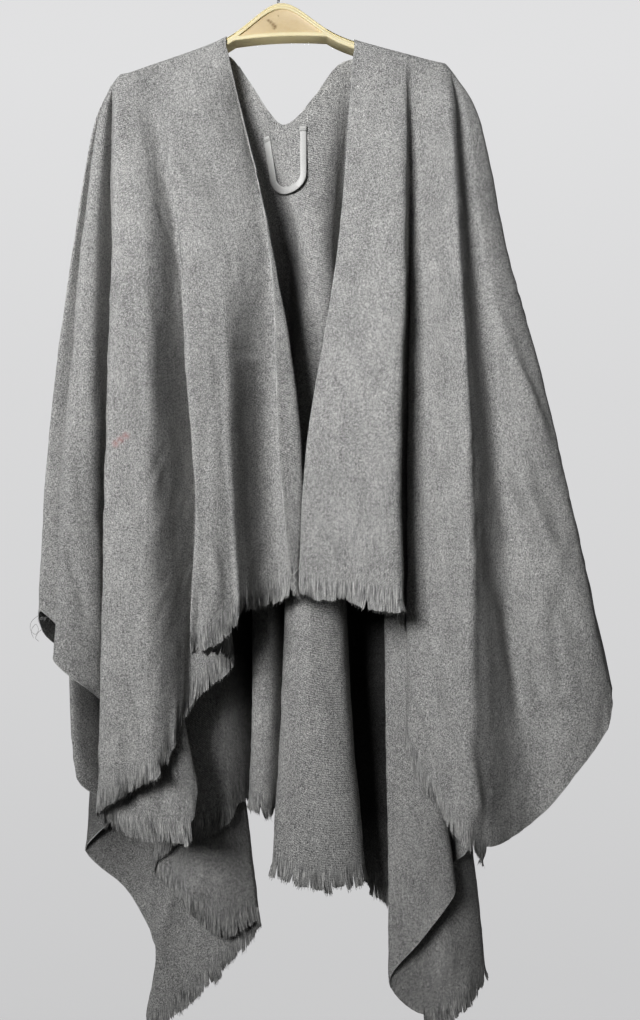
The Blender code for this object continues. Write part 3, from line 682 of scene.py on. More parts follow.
def cream_plastic(name="cream_plastic", shade=1.0, mark=None):
    """Moulded plastic, a little yellowed.  mark: the place of the gate's brown scar."""
    n = Nodes(name)
    cloud = n.noise(n.place(), 26.0, 3.0, 0.55)
    speck = n.noise(n.place(), 240.0, 2.0, 0.6)
    flow = n.noise(n.place((1, 1, 6)), 60.0, 2.0, 0.5, 0.8)
    value = n.math("MULTIPLY_ADD", speck, 0.18, n.math("MULTIPLY_ADD", flow, 0.22, n.math("MULTIPLY", cloud, 0.6)))
    if mark is None:
        tint = ((0.74, 0.655, 0.41), (0.83, 0.75, 0.51))
    else:
        tint = ((0.58, 0.455, 0.27), (0.70, 0.575, 0.37))
    tint = [tuple(c * shade for c in row) for row in tint]
    colour = n.ramp(value, ((0.3, tint[0]), (0.7, tint[1])))
    if mark is not None:
        near = None
        for (x, z), size in mark:
            far = n.new("ShaderNodeVectorMath", operation="DISTANCE")
            n.link(n.place((1, 0, 1)), far.inputs[0])
            far.inputs[1].default_value = (x, 0, z)
            edge = n.math("MULTIPLY_ADD", n.math("SUBTRACT", speck, 0.5), 0.004, far.outputs["Value"])
            here = n.math("MULTIPLY_ADD", edge, -1.0 / size, 1.0, clamp=True)
            near = here if near is None else n.math("MAXIMUM", near, here)
        colour = n.mix(n.math("MULTIPLY", near, 0.85), colour, (0.20, 0.13, 0.06))
    n.link(colour, n.shader.inputs["Base Color"])
    n.link(n.ramp(cloud, ((0.3, (0.36,) * 3), (0.7, (0.50,) * 3))), n.shader.inputs["Roughness"])
    n.link(n.bump(n.math("MULTIPLY_ADD", speck, 0.4, flow), 0.12, 0.0006), n.shader.inputs["Normal"])
    n.set(Specular_IOR_Level=0.42, Subsurface_Weight=0.06)
    n.shader.inputs["Subsurface Radius"].default_value = (0.004, 0.003, 0.0015)
    return n.mat


def wire_steel():
    n = Nodes("hook_steel")
    drawn = n.noise(n.place((1, 1, 0.15)), 900.0, 2.0)
    n.link(n.ramp(drawn, ((0.2, (0.30, 0.30, 0.31)), (0.8, (0.52, 0.52, 0.53)))), n.shader.inputs["Base Color"])
    n.link(n.ramp(drawn, ((0.2, (0.24,) * 3), (0.8, (0.40,) * 3))), n.shader.inputs["Roughness"])
    n.link(n.bump(drawn, 0.15, 0.0002), n.shader.inputs["Normal"])
    n.set(Metallic=1.0)
    return n.mat
# ------------------------------------------------------------------ cloth panels
NUDGES = {
    ("back", "corner L"): ((-1225, 75, 13, 0),),
    ("back", "tube inside"): ((-900, 200, -3, 16),),
    ("back", "tube L"): ((-900, 200, 5, 0),),
    ("left", "slit edge"): ((-195, 95, 0, 17),),
    ("left", "lapel"): ((-195, 95, 0, 16),),
    ("left", "lapel root"): ((-195, 95, 0, 12),),
    ("left", "beside lapel"): ((-195, 95, 0, 7),),
    ("left", "face"): ((-470, 60, 3, 0), (-760, 60, -4, -3)),
    ("left", "ridge"): ((-520, 70, -2, -3), (-700, 60, 3, 0)),
    ("right", "ridge"): ((-430, 60, 2, 0), (-640, 60, -2, -2)),
    ("right", "drape face"): ((-640, 70, -4, -4), (-840, 60, 3, 2)),
}


def lines_of(table, front, hand, key, count):
    return [
        fold_line((row[0], hand * row[1], *row[2:]), front, count, NUDGES.get((key, row[0]), ()))
        for row in table
    ]


ROWS_FRONT_FINE, ROWS_BACK_FINE = 150, 168
left_lines = lines_of(FRONT_LEFT, True, -1, "left", ROWS_FRONT_FINE)
right_lines = lines_of(FRONT_RIGHT, True, 1, "right", ROWS_FRONT_FINE)
back_lines = lines_of(BACK, False, 1, "back", ROWS_BACK_FINE)
# The neighbours' next lines, with as many points, so that the cloth runs on smoothly.
back_before = fold_line((FRONT_LEFT[-2][0], -FRONT_LEFT[-2][1], *FRONT_LEFT[-2][2:]), True, ROWS_BACK_FINE)
back_after = fold_line(FRONT_RIGHT[-2], True, ROWS_BACK_FINE)
left_after = fold_line(BACK[1], False, ROWS_FRONT_FINE)
right_after = fold_line(BACK[-2], False, ROWS_FRONT_FINE)

left = panel(left_lines, True, ROWS_FRONT_FINE, 4.4, None, left_after)
right = panel(right_lines, True, ROWS_FRONT_FINE, 4.2, None, right_after)
back = panel(back_lines, False, ROWS_BACK_FINE, 7.7, back_before, back_after)


def relax_top(part):
    """Nothing moves where the cloth lies on the hanger; the relief grows below it."""
    rows = part["grid"].shape[0]
    return np.clip((np.arange(rows) - RIM_FINE) / 14.0, 0, 1)[:, None]


def at_seam(part, first, last, reach=10):
    columns = part["grid"].shape[1]
    c = np.arange(columns)
    hold = np.ones(columns)
    if first:
        hold = np.minimum(hold, np.clip(c / reach, 0, 1))
    if last:
        hold = np.minimum(hold, np.clip((columns - 1 - c) / reach, 0, 1))
    return hold[None]


# path of x and z in the front view, width, height (a trough is negative), then how much
# wider it is on one side, and the share of it that dies away at each end.
CREASES = {
    "left": (
        (((-61, -479), (-42, -486), (-20, -488)), 4.0, -1.0, 1.4, 0.4),
        (((-58, -492), (-36, -497), (-18, -494)), 5.5, 0.8, 1.2, 0.4),
        (((-132, -300), (-118, -360), (-112, -430)), 9, -1.6, 1.6, 0.4),
        (((-150, -240), (-120, -275), (-84, -330)), 8, 1.4, 1.3, 0.4),
        (((-110, -215), (-84, -262), (-70, -330)), 10, -1.3, 1.4, 0.4),
        (((-176, -455), (-162, -520), (-158, -600)), 7, -1.5, 1.5, 0.4),
        (((-188, -600), (-168, -640), (-150, -700)), 6, -1.7, 1.6, 0.4),
        (((-184, -650), (-166, -702), (-140, -742)), 5, 1.5, 1.2, 0.4),
        (((-190, -730), (-172, -790), (-150, -850)), 7, -2.0, 1.5, 0.4),
        (((-178, -840), (-160, -890), (-150, -950)), 6, -2.4, 1.4, 0.3),
        (((-196, -870), (-184, -930), (-178, -1000)), 6, 2.0, 1.3, 0.3),
        (((-90, -560), (-84, -640), (-88, -720)), 7, -1.4, 1.5, 0.4),
        (((-78, -700), (-70, -745), (-72, -790)), 5, 2.0, 1.3, 0.3),
        (((-92, -750), (-90, -790), (-94, -830)), 5, -2.4, 1.3, 0.3),
        (((-160, -900), (-140, -960), (-126, -1030)), 7, 2.2, 1.3, 0.3),
        (((-250, -430), (-240, -500), (-244, -590)), 6, -1.4, 1.5, 0.4),
        (((-262, -560), (-246, -640), (-236, -720)), 7, 1.6, 1.3, 0.4),
        (((-256, -700), (-238, -750), (-226, -810)), 6, -1.8, 1.4, 0.3),
    ),
    "right": (
        (((230, -423), (256, -517), (303, -634), (344, -728)), 9, -2.4, 1.8, 0.3),
        (((236, -395), (268, -480), (312, -590)), 7, 1.8, 1.3, 0.4),
        (((232, -563), (267, -657), (326, -774), (367, -868)), 10, -2.8, 1.7, 0.3),
        (((240, -540), (286, -650), (340, -760)), 6, 1.7, 1.3, 0.4),
        (((230, -657), (256, -763), (303, -880), (344, -950)), 9, -2.4, 1.6, 0.3),
        (((256, -470), (291, -540), (326, -622)), 6, 1.7, 1.3, 0.4),
        (((262, -750), (271, -836), (283, -930)), 7, -3.2, 1.4, 0.3),
        (((277, -800), (286, -860), (291, -915)), 4.5, 2.4, 1.2, 0.3),
        (((308, -762), (322, -868), (334, -930)), 8, -2.6, 1.5, 0.3),
        (((296, -880), (320, -890), (338, -874)), 4, 1.8, 1.2, 0.4),
        (((47, -572), (62, -600), (73, -636)), 5, 1.6, 1.4, 0.35),
        (((50, -623), (73, -652), (96, -681)), 4.5, -1.9, 1.3, 0.35),
        (((33, -658), (56, -692), (79, -727)), 5, 1.8, 1.4, 0.35),
        (((44, -690), (60, -715), (70, -745)), 4, -1.7, 1.3, 0.35),
        (((86, -560), (98, -640), (94, -720)), 6, -1.5, 1.5, 0.4),
        (((112, -300), (100, -380), (104, -470)), 8, -1.3, 1.6, 0.4),
        (((150, -330), (176, -372), (196, -430)), 5, -1.4, 1.4, 0.4),
        (((182, -620), (200, -690), (206, -780)), 7, -1.8, 1.5, 0.4),
        (((168, -800), (186, -860), (200, -930)), 7, 2.0, 1.4, 0.3),
        (((150, -880), (162, -930), (180, -980)), 5, -2.2, 1.3, 0.3),
        (((200, -900), (214, -960), (226, -1030)), 6, 2.2, 1.3, 0.3),
    ),
    "back": (
        (((-60, -260), (-92, -420), (-118, -600)), 13, -3.0, 1.6, 0.3),
        (((-40, -330), (-52, -470), (-40, -620)), 10, 2.2, 1.4, 0.35),
        (((34, -300), (66, -430), (82, -600)), 12, -2.8, 1.5, 0.3),
        (((112, -250), (140, -360), (146, -520)), 9, 2.4, 1.4, 0.35),
        (((-190, -420), (-206, -560), (-196, -700)), 9, -2.4, 1.5, 0.35),
        (((176, -420), (216, -560), (240, -720)), 10, -2.6, 1.5, 0.35),
        (((-150, -640), (-128, -780), (-118, -930)), 9, 2.2, 1.5, 0.3),
        (((120, -680), (150, -820), (158, -960)), 10, -2.8, 1.5, 0.3),
        (((22, -690), (34, -820), (26, -960)), 7, -1.6, 1.5, 0.35),
        (((-120, -1080), (-146, -1160), (-166, -1250)), 7, -2.6, 1.4, 0.3),
        (((-96, -1090), (-112, -1150), (-128, -1210)), 6, 2.4, 1.3, 0.3),
        (((150, -1010), (170, -1080), (186, -1150)), 8, -2.6, 1.4, 0.3),
        (((196, -1160), (204, -1220), (196, -1280)), 7, 2.6, 1.4, 0.3),
    ),
}


def relief(part, key, front, seed, first, last):
    grid, flat = part["grid"], part["flat"]
    n = normals(grid, front)
    u, v = flat[..., 0], flat[..., 1]
    lift = 0.9 * value_noise(u / 46, v / 120, seed)
    lift += 0.55 * value_noise(u / 19 + 0.3 * value_noise(u / 60, v / 60, seed + 7), v / 41, seed + 1)
    lift += 0.22 * value_noise(u / 9, v / 12, seed + 2)
    # Faint crossing wrinkles from when the cloth lay folded, stronger in some places.
    for turn, wide, long_, size, k in ((0.62, 8.5, 70.0, 0.55, 20), (-0.50, 10.0, 60.0, 0.42, 30), (1.35, 9.0, 80.0, 0.30, 40)):
        a, b = u * math.cos(turn) + v * math.sin(turn), v * math.cos(turn) - u * math.sin(turn)
        where = np.clip(0.5 + 1.3 * value_noise(u / 95, v / 95, seed + k), 0, 1.4)
        lift += size * where * value_noise(a / wide, b / long_, seed + k + 1)
    for path, width, depth, *rest in CREASES[key]:
        depth *= 2.0
        lift += crease(grid, path, width, depth, *rest)
    rows = grid.shape[0]
    to_hem = (rows - 1 - np.arange(rows))[:, None] * (np.linalg.norm(grid[-1] - grid[-2], axis=1)[None])
    skirt = np.clip(1 - to_hem / 55.0, 0, 1) ** 2
    lift += skirt * (2.4 * value_noise(u / 15 + 0.2 * value_noise(u / 50, v / 50, seed + 8), v / 90, seed + 3) + 1.0 * value_noise(u / 6.5, v / 60, seed + 4))
    lift *= relax_top(part) * at_seam(part, first, last)
    part["grid"] = grid + n * lift[..., None]
    part["normal"] = normals(part["grid"], front)
    part["tails"] = part["tails"] + part["grid"][-1] - grid[-1]


relief(left, "left", True, 11, False, True)
relief(right, "right", True, 23, False, True)
relief(back, "back", False, 37, True, True)


def ravelled(mesh, share):
    """How far the weave has come loose at each point, from 0 to 1."""
    layer = mesh.attributes.new("ravelled", "FLOAT", "POINT")
    layer.data.foreach_set("value", np.asarray(share, np.float32))


def cloth(name, part, mat, front, first, last, skip=None):
    """A panel; first and last are the parameters between which its hem is fringed."""
    rows, columns = part["grid"].shape[:2]
    faces = grid_faces(rows, columns, skip)
    grid, out = part["grid"], part["normal"].reshape(-1, 3)
    step = np.linalg.norm(np.diff(grid, axis=0), axis=2)
    to_hem = np.concatenate([np.cumsum(step[::-1], axis=0)[::-1], np.zeros((1, columns))])
    loose = np.clip(1 - to_hem / 24.0, 0, 1) * np.clip(np.minimum(part["at"] - first, last - part["at"]) * 3 + 1, 0, 1)[None]
    share = (loose * loose).reshape(-1)
    used = np.unique(faces)
    mesh = shell_mesh(name, grid.reshape(-1, 3), out, faces, part["flat"].reshape(-1, 2), WALL)
    ravelled(mesh, np.concatenate([share[used], share[used]]))
    obj = add(name, mesh, mat)
    print(name, "quads", len(faces), "columns", columns)
    return obj


def index_of(lines, name):
    return [i for i, line in enumerate(lines) if line["name"] == name][0]


neck_cols = np.array([line["neck"] for line in back_lines])
middle = ((back["at"][:-1] + back["at"][1:]) / 2).astype(int)
skip_back = np.zeros((back["grid"].shape[0] - 1, back["grid"].shape[1] - 1), bool)
skip_back[: RIM_FINE - 1] = (neck_cols[middle] | neck_cols[middle + 1])[None]

HEM_LEFT = (0, index_of(left_lines, "corner"))
HEM_RIGHT = (0, index_of(right_lines, "corner"))
HEM_REAR = (index_of(back_lines, "corner L"), index_of(back_lines, "corner R"))
wool_left = melange("melange_front_left", stain=((-0.1825, -0.5935), (-0.1770, -0.5890), (-0.1712, -0.5845)))
# The back's cloth gets painted shade deep inside its folds.
wool_right, wool_back = melange("melange_front_right"), melange("melange_back", painted_fold_shade=True)
cloth_left = cloth("cloth_front_left", left, wool_left, True, *HEM_LEFT)
cloth_right = cloth("cloth_front_right", right, wool_right, True, *HEM_RIGHT)
cloth_back = cloth("cloth_back", back, wool_back, False, *HEM_REAR, skip_back)
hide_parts("front_left")
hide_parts("front_right")
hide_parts("back")


# ------------------------------------------------------------------ fringe
def smooth(t):
    t = np.clip(t, 0, 1)
    return t * t * (3 - 2 * t)


def fringe(name, part, first, last, seed, mat, spacing=0.62, length=21.5):
    """Free warp ends: a ragged band that goes on from the cloth, parted into tufts of
    uneven width, with single strands standing out of it and past its ends."""
    rng = np.random.default_rng(seed)
    keep = np.where((part["at"] >= first - 1e-9) & (part["at"] <= last + 1e-9))[0]
    edge, above = part["grid"][-1, keep], part["grid"][-4, keep]
    across_cloth, flat = part["normal"][-1, keep], part["flat"][-1, keep]
    run = np.concatenate([[0], np.cumsum(np.linalg.norm(np.diff(edge, axis=0), axis=1))])
    total = run[-1]
    down_all = edge - above
    down_all /= np.linalg.norm(down_all, axis=1, keepdims=True)
    sign = np.sign(part["flat"][-1, keep[0], 1] - part["flat"][-4, keep[0], 1])

    cuts = [0.0]
    while cuts[-1] < total:
        cuts.append(cuts[-1] + (rng.uniform(2.5, 7.0) if rng.random() < 0.4 else rng.uniform(6.0, 17.0)))
    cuts[-1] = total
    cuts = np.array(cuts)
    many = len(cuts) - 1
    grain = rng.normal(0, 1, 4096)

    def drift(s, cell, k):
        u = s / cell + 37.0 * k
        i = np.floor(u).astype(int) % 4095
        f = smooth(u - np.floor(u))
        return grain[i] * (1 - f) + grain[(i + 1) % 4096] * f

    reach = np.clip(rng.normal(1.0, 0.075, many), 0.78, 1.2)
    lean = rng.normal(0, 0.05, many)
    out = rng.normal(0.0, 0.07, many)
    pull = rng.uniform(0.02, 0.12, many)
    opens = rng.uniform(0.05, 0.55, many)
    curl = rng.normal(0, 0.08, many)
    fall = np.array([0, 0, -1.0])

    def along(values, s):
        return np.stack([np.interp(s, run, values[:, i]) for i in range(values.shape[1])], -1)

    def courses(s, k, size, t, shift=0.0, off=0.0):
        """Points from s on the hem down tuft k, one row for each share of their length."""
        s = np.asarray(s, float)
        base, down, nn = along(edge, s), along(down_all, s), along(across_cloth, s)
        side = along(edge, np.minimum(s + 2.0, total)) - along(edge, np.maximum(s - 2.0, 0))
        side /= np.maximum(np.linalg.norm(side, axis=1, keepdims=True), 1e-6)
        t = np.asarray(t)[:, None, None]
        size = np.broadcast_to(size, s.shape)[None, :, None]
        tilt = (lean[k] + shift + 0.11 * drift(s, 55.0, 1))[None, :, None]
        direct = down[None] + side[None] * tilt * t + nn[None] * (out[k] + 0.10 * drift(s, 30.0, 2)[:, None] + curl[k] * t) * t
        path = base[None] + nn[None] * off + t * size * direct
        centre = ((cuts[k] + cuts[k + 1]) / 2 - s)[None, :, None]
        path = path + side[None] * centre * pull[k] * smooth((t - opens[k]) / (1.02 - opens[k]))
        return path + 0.10 * size * (fall - down)[None] * t ** 2

    levels = np.array([0, 0.08, 0.2, 0.34, 0.5, 0.66, 0.82, 1.0])
    points, outward, places, faces, walls = [], [], [], [], []
    count = 0
    for k in range(many):
        width = cuts[k + 1] - cuts[k]
        n = max(3, int(round(width / 1.0)))
        s = np.linspace(cuts[k], cuts[k + 1], n + 1)
        ragged = 1 + rng.normal(0, 0.035, n + 1) - 0.05 * np.abs(np.linspace(-1, 1, n + 1)) ** 4
        size = length * reach[k] * ragged * (1 + 0.07 * drift(s, 28.0, 3)) * 0.93
        rows = courses(s, k, size, levels)
        nn = np.cross(np.gradient(rows, axis=1), np.gradient(rows, axis=0))
        nn /= np.maximum(np.linalg.norm(nn, axis=2, keepdims=True), 1e-9)
        if (nn * along(across_cloth, s)[None]).sum() < 0:
            nn = -nn
        nn[0] = along(across_cloth, s)
        points.append(rows.reshape(-1, 3))
        outward.append(nn.reshape(-1, 3))
        uv = np.broadcast_to(along(flat, s)[None], (len(levels), n + 1, 2)).copy()
        uv[..., 1] += sign * levels[:, None] * size[None]
        places.append(uv.reshape(-1, 2))
        walls.append(np.broadcast_to((WALL * (1 - 0.62 * levels))[:, None], (len(levels), n + 1)).reshape(-1))
        faces.append(grid_faces(len(levels), n + 1) + count)
        count += len(levels) * (n + 1)
    band = shell_mesh(name, np.concatenate(points), np.concatenate(outward), np.concatenate(faces), np.concatenate(places), np.concatenate(walls))

    at = np.arange(0.2, total, spacing)
    at = np.clip(at + rng.normal(0, 0.25, len(at)), 0, total)
    t = np.array([0.02, 0.2, 0.42, 0.64, 0.84, 1.0])
    paths, radii, uvs = [], [], []
    for i, s in enumerate(at):
        k = int(np.clip(np.searchsorted(cuts, s) - 1, 0, many - 1))
        size = length * reach[k] * rng.uniform(0.84, 1.10) * float(1 + 0.07 * drift(np.array([s]), 28.0, 3)[0])
        shift = rng.normal(0, 0.03)
        if rng.random() < 0.06:
            shift += rng.normal(0, 0.14)
            size *= rng.uniform(0.9, 1.18)
        path = courses([s], k, size, t, shift)[:, 0]
        nn = along(across_cloth, np.array([s]))[0]
        lie = (1 if i % 2 else -1) * (WALL / 2 * (1 - 0.62 * t) - 0.10)
        path = path + nn * lie[:, None]
        wave = rng.normal(0, 0.25, 3) * np.sin(t * rng.uniform(2, 6) + rng.uniform(0, 6))[:, None]
        path = path + wave * t[:, None]
        thick = 0.27 * rng.uniform(0.8, 1.2)
        paths.append(path)
        radii.append(thick * np.array([0.35, 0.85, 1.0, 0.96, 0.86, 0.5]))
        place = along(flat, np.array([s]))[0]
        uvs.append(np.stack([np.full(6, place[0] + rng.normal(0, 1.0)), place[1] + sign * t * size], 1))
    pts, strand_faces, uv = tubes(paths, radii, 3, uvs)
    strands = mesh_of(name + "_strands", pts, strand_faces, uv)
    work = bmesh.new()
    work.from_mesh(band)
    work.from_mesh(strands)
    work.to_mesh(band)
    work.free()
    bpy.data.meshes.remove(strands)
    ravelled(band, np.ones(len(band.vertices)))
    print(name, "tufts", many, "strands", len(paths), "faces", len(band.polygons))
    return add(name, band, mat)


fringe_left = fringe("fringe_left", left, *HEM_LEFT, 3, wool_left)
fringe_right = fringe("fringe_right", right, *HEM_RIGHT, 4, wool_right)
fringe_rear = fringe("fringe_rear", back, *HEM_REAR, 5, wool_back)
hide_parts("fringe_front_left")
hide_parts("fringe_front_right")
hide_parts("fringe_back")


# ------------------------------------------------------------------ edges and threads
def cord(name, paths, radius, mat, sides=6, ends=1.0):
    """Thin round threads along paths."""
    kept = [np.asarray(p, float) for p in paths]
    radii = []
    for p in kept:
        r = np.full(len(p), radius)
        r[0] = r[-1] = radius * ends
        radii.append(r)
    pts, faces, uv = tubes(kept, radii, sides, [np.stack([np.zeros(len(p)), np.arange(len(p)) * 2.0], 1) for p in kept])
    return add(name, mesh_of(name, pts, faces, uv), mat)


def every(path, step, *more):
    """The path, and more rows beside it, at even steps of its length."""
    length = np.concatenate([[0], np.cumsum(np.linalg.norm(np.diff(path, axis=0), axis=1))])
    at = np.linspace(0, length[-1], max(int(length[-1] / step), 2))
    return [np.array([np.interp(at, length, q[:, i]) for i in range(3)]).T for q in (path, *more)]


def overlock(part, column, inner, side, pitch=2.9, reach=2.3, seed=1):
    """A thread that zigzags over a cut edge, drawn on the face named by side."""
    rng = np.random.default_rng(seed)
    g, n = part["grid"][RIM_FINE:], part["normal"][RIM_FINE:]
    inward = g[:, inner] - g[:, column]
    inward /= np.linalg.norm(inward, axis=1, keepdims=True)
    base, into, out = every(g[:, column], pitch / 2, inward, n[:, column] * side)
    swing = np.where(np.arange(len(base)) % 2, reach, -0.25)[:, None] * rng.uniform(0.85, 1.15, (len(base), 1))
    lift = np.where(np.arange(len(base)) % 2, WALL / 2 + 0.12, WALL / 2 - 0.10)[:, None]
    return base + into * swing + out * lift


pale = white_thread()
grey_thread = yarn("grey_thread", 0.75)
selvedge_yarn = yarn("selvedge_yarn", 1.12)
cord("slit_overlock_left", [overlock(left, 0, 2, 1, seed=1), overlock(left, 0, 2, -1, seed=2)], 0.27, pale, 4)
cord("slit_overlock_right", [overlock(right, 0, 2, 1, seed=3), overlock(right, 0, 2, -1, seed=4)], 0.22, selvedge_yarn, 4)

# The weft turns back at the selvedges, which leaves a slightly fuller edge there.
rims = []
for part, low, high in ((left, HEM_LEFT[1] + 0.8, 99), (right, HEM_RIGHT[1] + 0.8, 99), (back, -1, HEM_REAR[0] - 0.8), (back, HEM_REAR[1] + 0.8, 99)):
    cols = np.where((part["at"] >= low) & (part["at"] <= high))[0]
    rims.append(every(part["grid"][-1, cols], 3.0)[0])
cord("selvedge_edges", rims, 0.78, selvedge_yarn, 6)
rims = [every(part["grid"][RIM_FINE:, 0], 3.5)[0] for part in (left, right)]
cord("slit_edges", rims, 0.72, selvedge_yarn, 6)
neck_at = np.where(np.array([back_lines[int(round(a))]["neck"] for a in back["at"]]))[0]
cord("neck_edge", [every(back["grid"][RIM_FINE - 1, neck_at], 2.5)[0]], 0.95, selvedge_yarn, 6)


def curl(points, step=1.2):
    p = catmull(with_ends(np.array(points, float)), np.linspace(0, len(points) - 1, 8 * (len(points) - 1) + 1))
    return every(p, step)[0]


cord("stray_thread_dark", [
    curl([(-296, 30, -797), (-303, 27, -800), (-309, 25, -807), (-309, 24, -816), (-303, 24, -821), (-300, 26, -815), (-304, 28, -809), (-309, 27, -817), (-306, 26, -826)]),
    curl([(-295, 34, -814), (-301, 30, -819), (-304, 28, -826), (-300, 28, -830)]),
], 0.24, grey_thread, 4, 0.4)
cord("stray_thread_pale", [
    curl([(22.6, -66, -724), (22, -69, -731), (18, -70, -738), (12, -69, -743), (10, -68, -741)]),
    curl([(13, -68, -745), (17, -70, -749), (13.5, -71, -753), (17, -71, -757), (14, -70, -762), (16, -69, -768)]),
], 0.30, pale, 4, 0.4)
# A bit of the left wing's edge has frayed where the weft broke.
frayed = []
rng = np.random.default_rng(8)
for i in range(16):
    x0, z0 = -294 + 9 * rng.random(), -799 - 4 * rng.random()
    dx, dz = rng.uniform(-7, 1), rng.uniform(-5, 2)
    frayed.append(curl([(x0, 20, z0), (x0 + dx * 0.5, 18, z0 + dz * 0.3 + 1), (x0 + dx, 17 + rng.normal(0, 1), z0 + dz)]))
cord("frayed_weft", frayed, 0.26, selvedge_yarn, 4, 0.4)
# ------------------------------------------------------------------ hanger
def hanger_mesh():
    """The moulded I-section swept along the hanger, its pockets closing on the arms."""
    xs = np.linspace(-HANGER_END, HANGER_END, 321)
    rings = []
    for x in xs:
        top = hanger_top(x)
        low = min(top - ARM_HEIGHT, CHORD - 2.0 * (x / 45.0) ** 2 + TILT * x)
        end = min(1.0, (HANGER_END - abs(x)) / 6.0)
        half = HANGER_HALF * (0.55 + 0.45 * math.sqrt(max(0.0, 1 - (1 - end) ** 2)))
        rim, foot = 7.4, 4.6
        tall = max(0.0, (top - rim) - (low + foot))
        open_ = min(1.0, tall / 3.0)
        open_ = open_ * open_ * (3 - 2 * open_)
        w = half - 2.2 * open_
        mid = ((top - rim) + (low + foot)) / 2
        a, b = (top - rim, low + foot) if tall > 0.05 else (mid, mid)
        f = min(0.8, tall / 2 + 0.01)
        r, q = 2.0, min(0.8, (half - w) * 0.3 + 0.01)
        cut = 1.0
        g = top - 0.42 * (top - a)
        side = [
            (0.0, top + 0.35),
            (half * 0.55, top + 0.25),
            (half - r - 1.6, top + 0.05),
            (half - r, top - 0.1),
            (half - r * 0.3, top - r * 0.35),
            (half, top - r),
            (half, g + 0.75),
            (half - cut, g + 0.25),
            (half - cut, g - 0.25),
            (half, g - 0.75),
            (half, a + q),
            (half - q * 0.3, a + q * 0.3),
            (half - q, a),
            (w + f * 0.3, a - f * 0.1),
            (w, a - f),
            (w, (a + b) / 2),
            (w, b + f),
            (w + f * 0.3, b + f * 0.1),
            (half - q, b),
            (half - q * 0.3, b - q * 0.3),
            (half, b - q),
            (half, low + 1.4),
            (half - 0.4, low + 0.4),
            (half - 1.4, low),
            (0.0, low),
        ]
        other = [(-y, z) for y, z in reversed(side[1:-1])]
        rings.append([(x, y, z) for y, z in side + other])
    rings = np.array(rings)
    n, m = rings.shape[:2]
    faces = []
    for i in range(n - 1):
        for j in range(m):
            q = (j + 1) % m
            faces.append((i * m + j, i * m + q, (i + 1) * m + q, (i + 1) * m + j))
    faces.append(tuple(range(m)))
    faces.append(tuple((n - 1) * m + j for j in reversed(range(m))))
    return rings.reshape(-1, 3), faces


pts, faces = hanger_mesh()
work = bmesh.new()
hanger_data = mesh_of("hanger_moulded", pts, faces)
work.from_mesh(hanger_data)
bmesh.ops.recalc_face_normals(work, faces=work.faces)
work.to_mesh(hanger_data)
work.free()
cream = cream_plastic()
scar = [((-0.0062, -0.0905), 0.0038), ((-0.0035, -0.0930), 0.0034), ((-0.0090, -0.0880), 0.0034), ((-0.0112, -0.0862), 0.0026), ((0.0005, -0.0800), 0.0020), ((-0.0045, -0.0955), 0.0028)]
pocket = cream_plastic("cream_pocket", 1.0, scar)
hanger = add("hanger_moulded", hanger_data, [cream, pocket])
for face in hanger_data.polygons:
    x, y, z = face.center
    x = x / MM - HOOK_OFFSET
    top, low = hanger_top(x), CHORD - 2.0 * (x / 45.0) ** 2 + TILT * x
    if abs(face.normal.y) > 0.7 and abs(y) / MM < 11.2 and low + 4.8 < z / MM < top - 7.6 and abs(x) < 75:
        face.material_index = 1
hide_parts("hanger")

# ------------------------------------------------------------------ hook
crown = hanger_top(-HOOK_OFFSET)
ring = HOOK_RADIUS + WIRE / 2
route = [(-HOOK_OFFSET, 0.0, crown - 1.0 + (8.0 + 1.0) * i / 6) for i in range(7)]
for i in range(61):
    a = math.radians(-62 + 262 * i / 60)
    route.append((ring * math.cos(a) - HOOK_OFFSET, 0.0, -HOOK_RADIUS + ring * math.sin(a)))
route = np.array(route)
knots = with_ends(route)
length = np.concatenate([[0], np.cumsum(np.linalg.norm(np.diff(route, axis=0), axis=1))])
fine = np.array([np.interp(np.linspace(0, length[-1], 110), length, route[:, i]) for i in range(3)]).T
for _ in range(6):
    fine[1:-1] = (fine[:-2] + 2 * fine[1:-1] + fine[2:]) / 4
radius = np.full(len(fine), WIRE / 2)
radius[-3:] = WIRE / 2 * np.array([0.97, 0.86, 0.55])
pts, faces, _ = tubes([fine], [radius], 14)
hook = add("hook_wire", mesh_of("hook_wire", pts, faces), wire_steel())
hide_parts("hook")


# ------------------------------------------------------------------ loop of tape
def depth_at(part, x, z):
    """The nearest front depth of the back panel at x and z, near the neck."""
    g = part["grid"][RIM_FINE - 1 : RIM_FINE + 60].reshape(-1, 3)
    d = np.hypot(g[:, 0] - x, g[:, 2] - z)
    near = np.argsort(d)[:6]
    w = 1 / (d[near] + 0.3)
    return float((g[near, 1] * w).sum() / w.sum())


def tape_path():
    """Down the left strand, which leans in, round, and up the right one."""
    (x0, z0), (x1, z1) = TAPE_TOPS
    lean = 7.0
    radius = (x1 - x0 - lean) / 2
    low = min(z0, z1) - TAPE_DROP + radius
    path = [(x0 + lean * i / 14, z0 + (low - z0) * i / 14) for i in range(14)]
    path += [(x0 + lean + radius - radius * math.cos(a), low - radius * math.sin(a)) for a in np.linspace(0, math.pi, 31)]
    path += [(x1, low + (z1 - low) * (i + 1) / 14) for i in range(14)]
    return np.array(path)


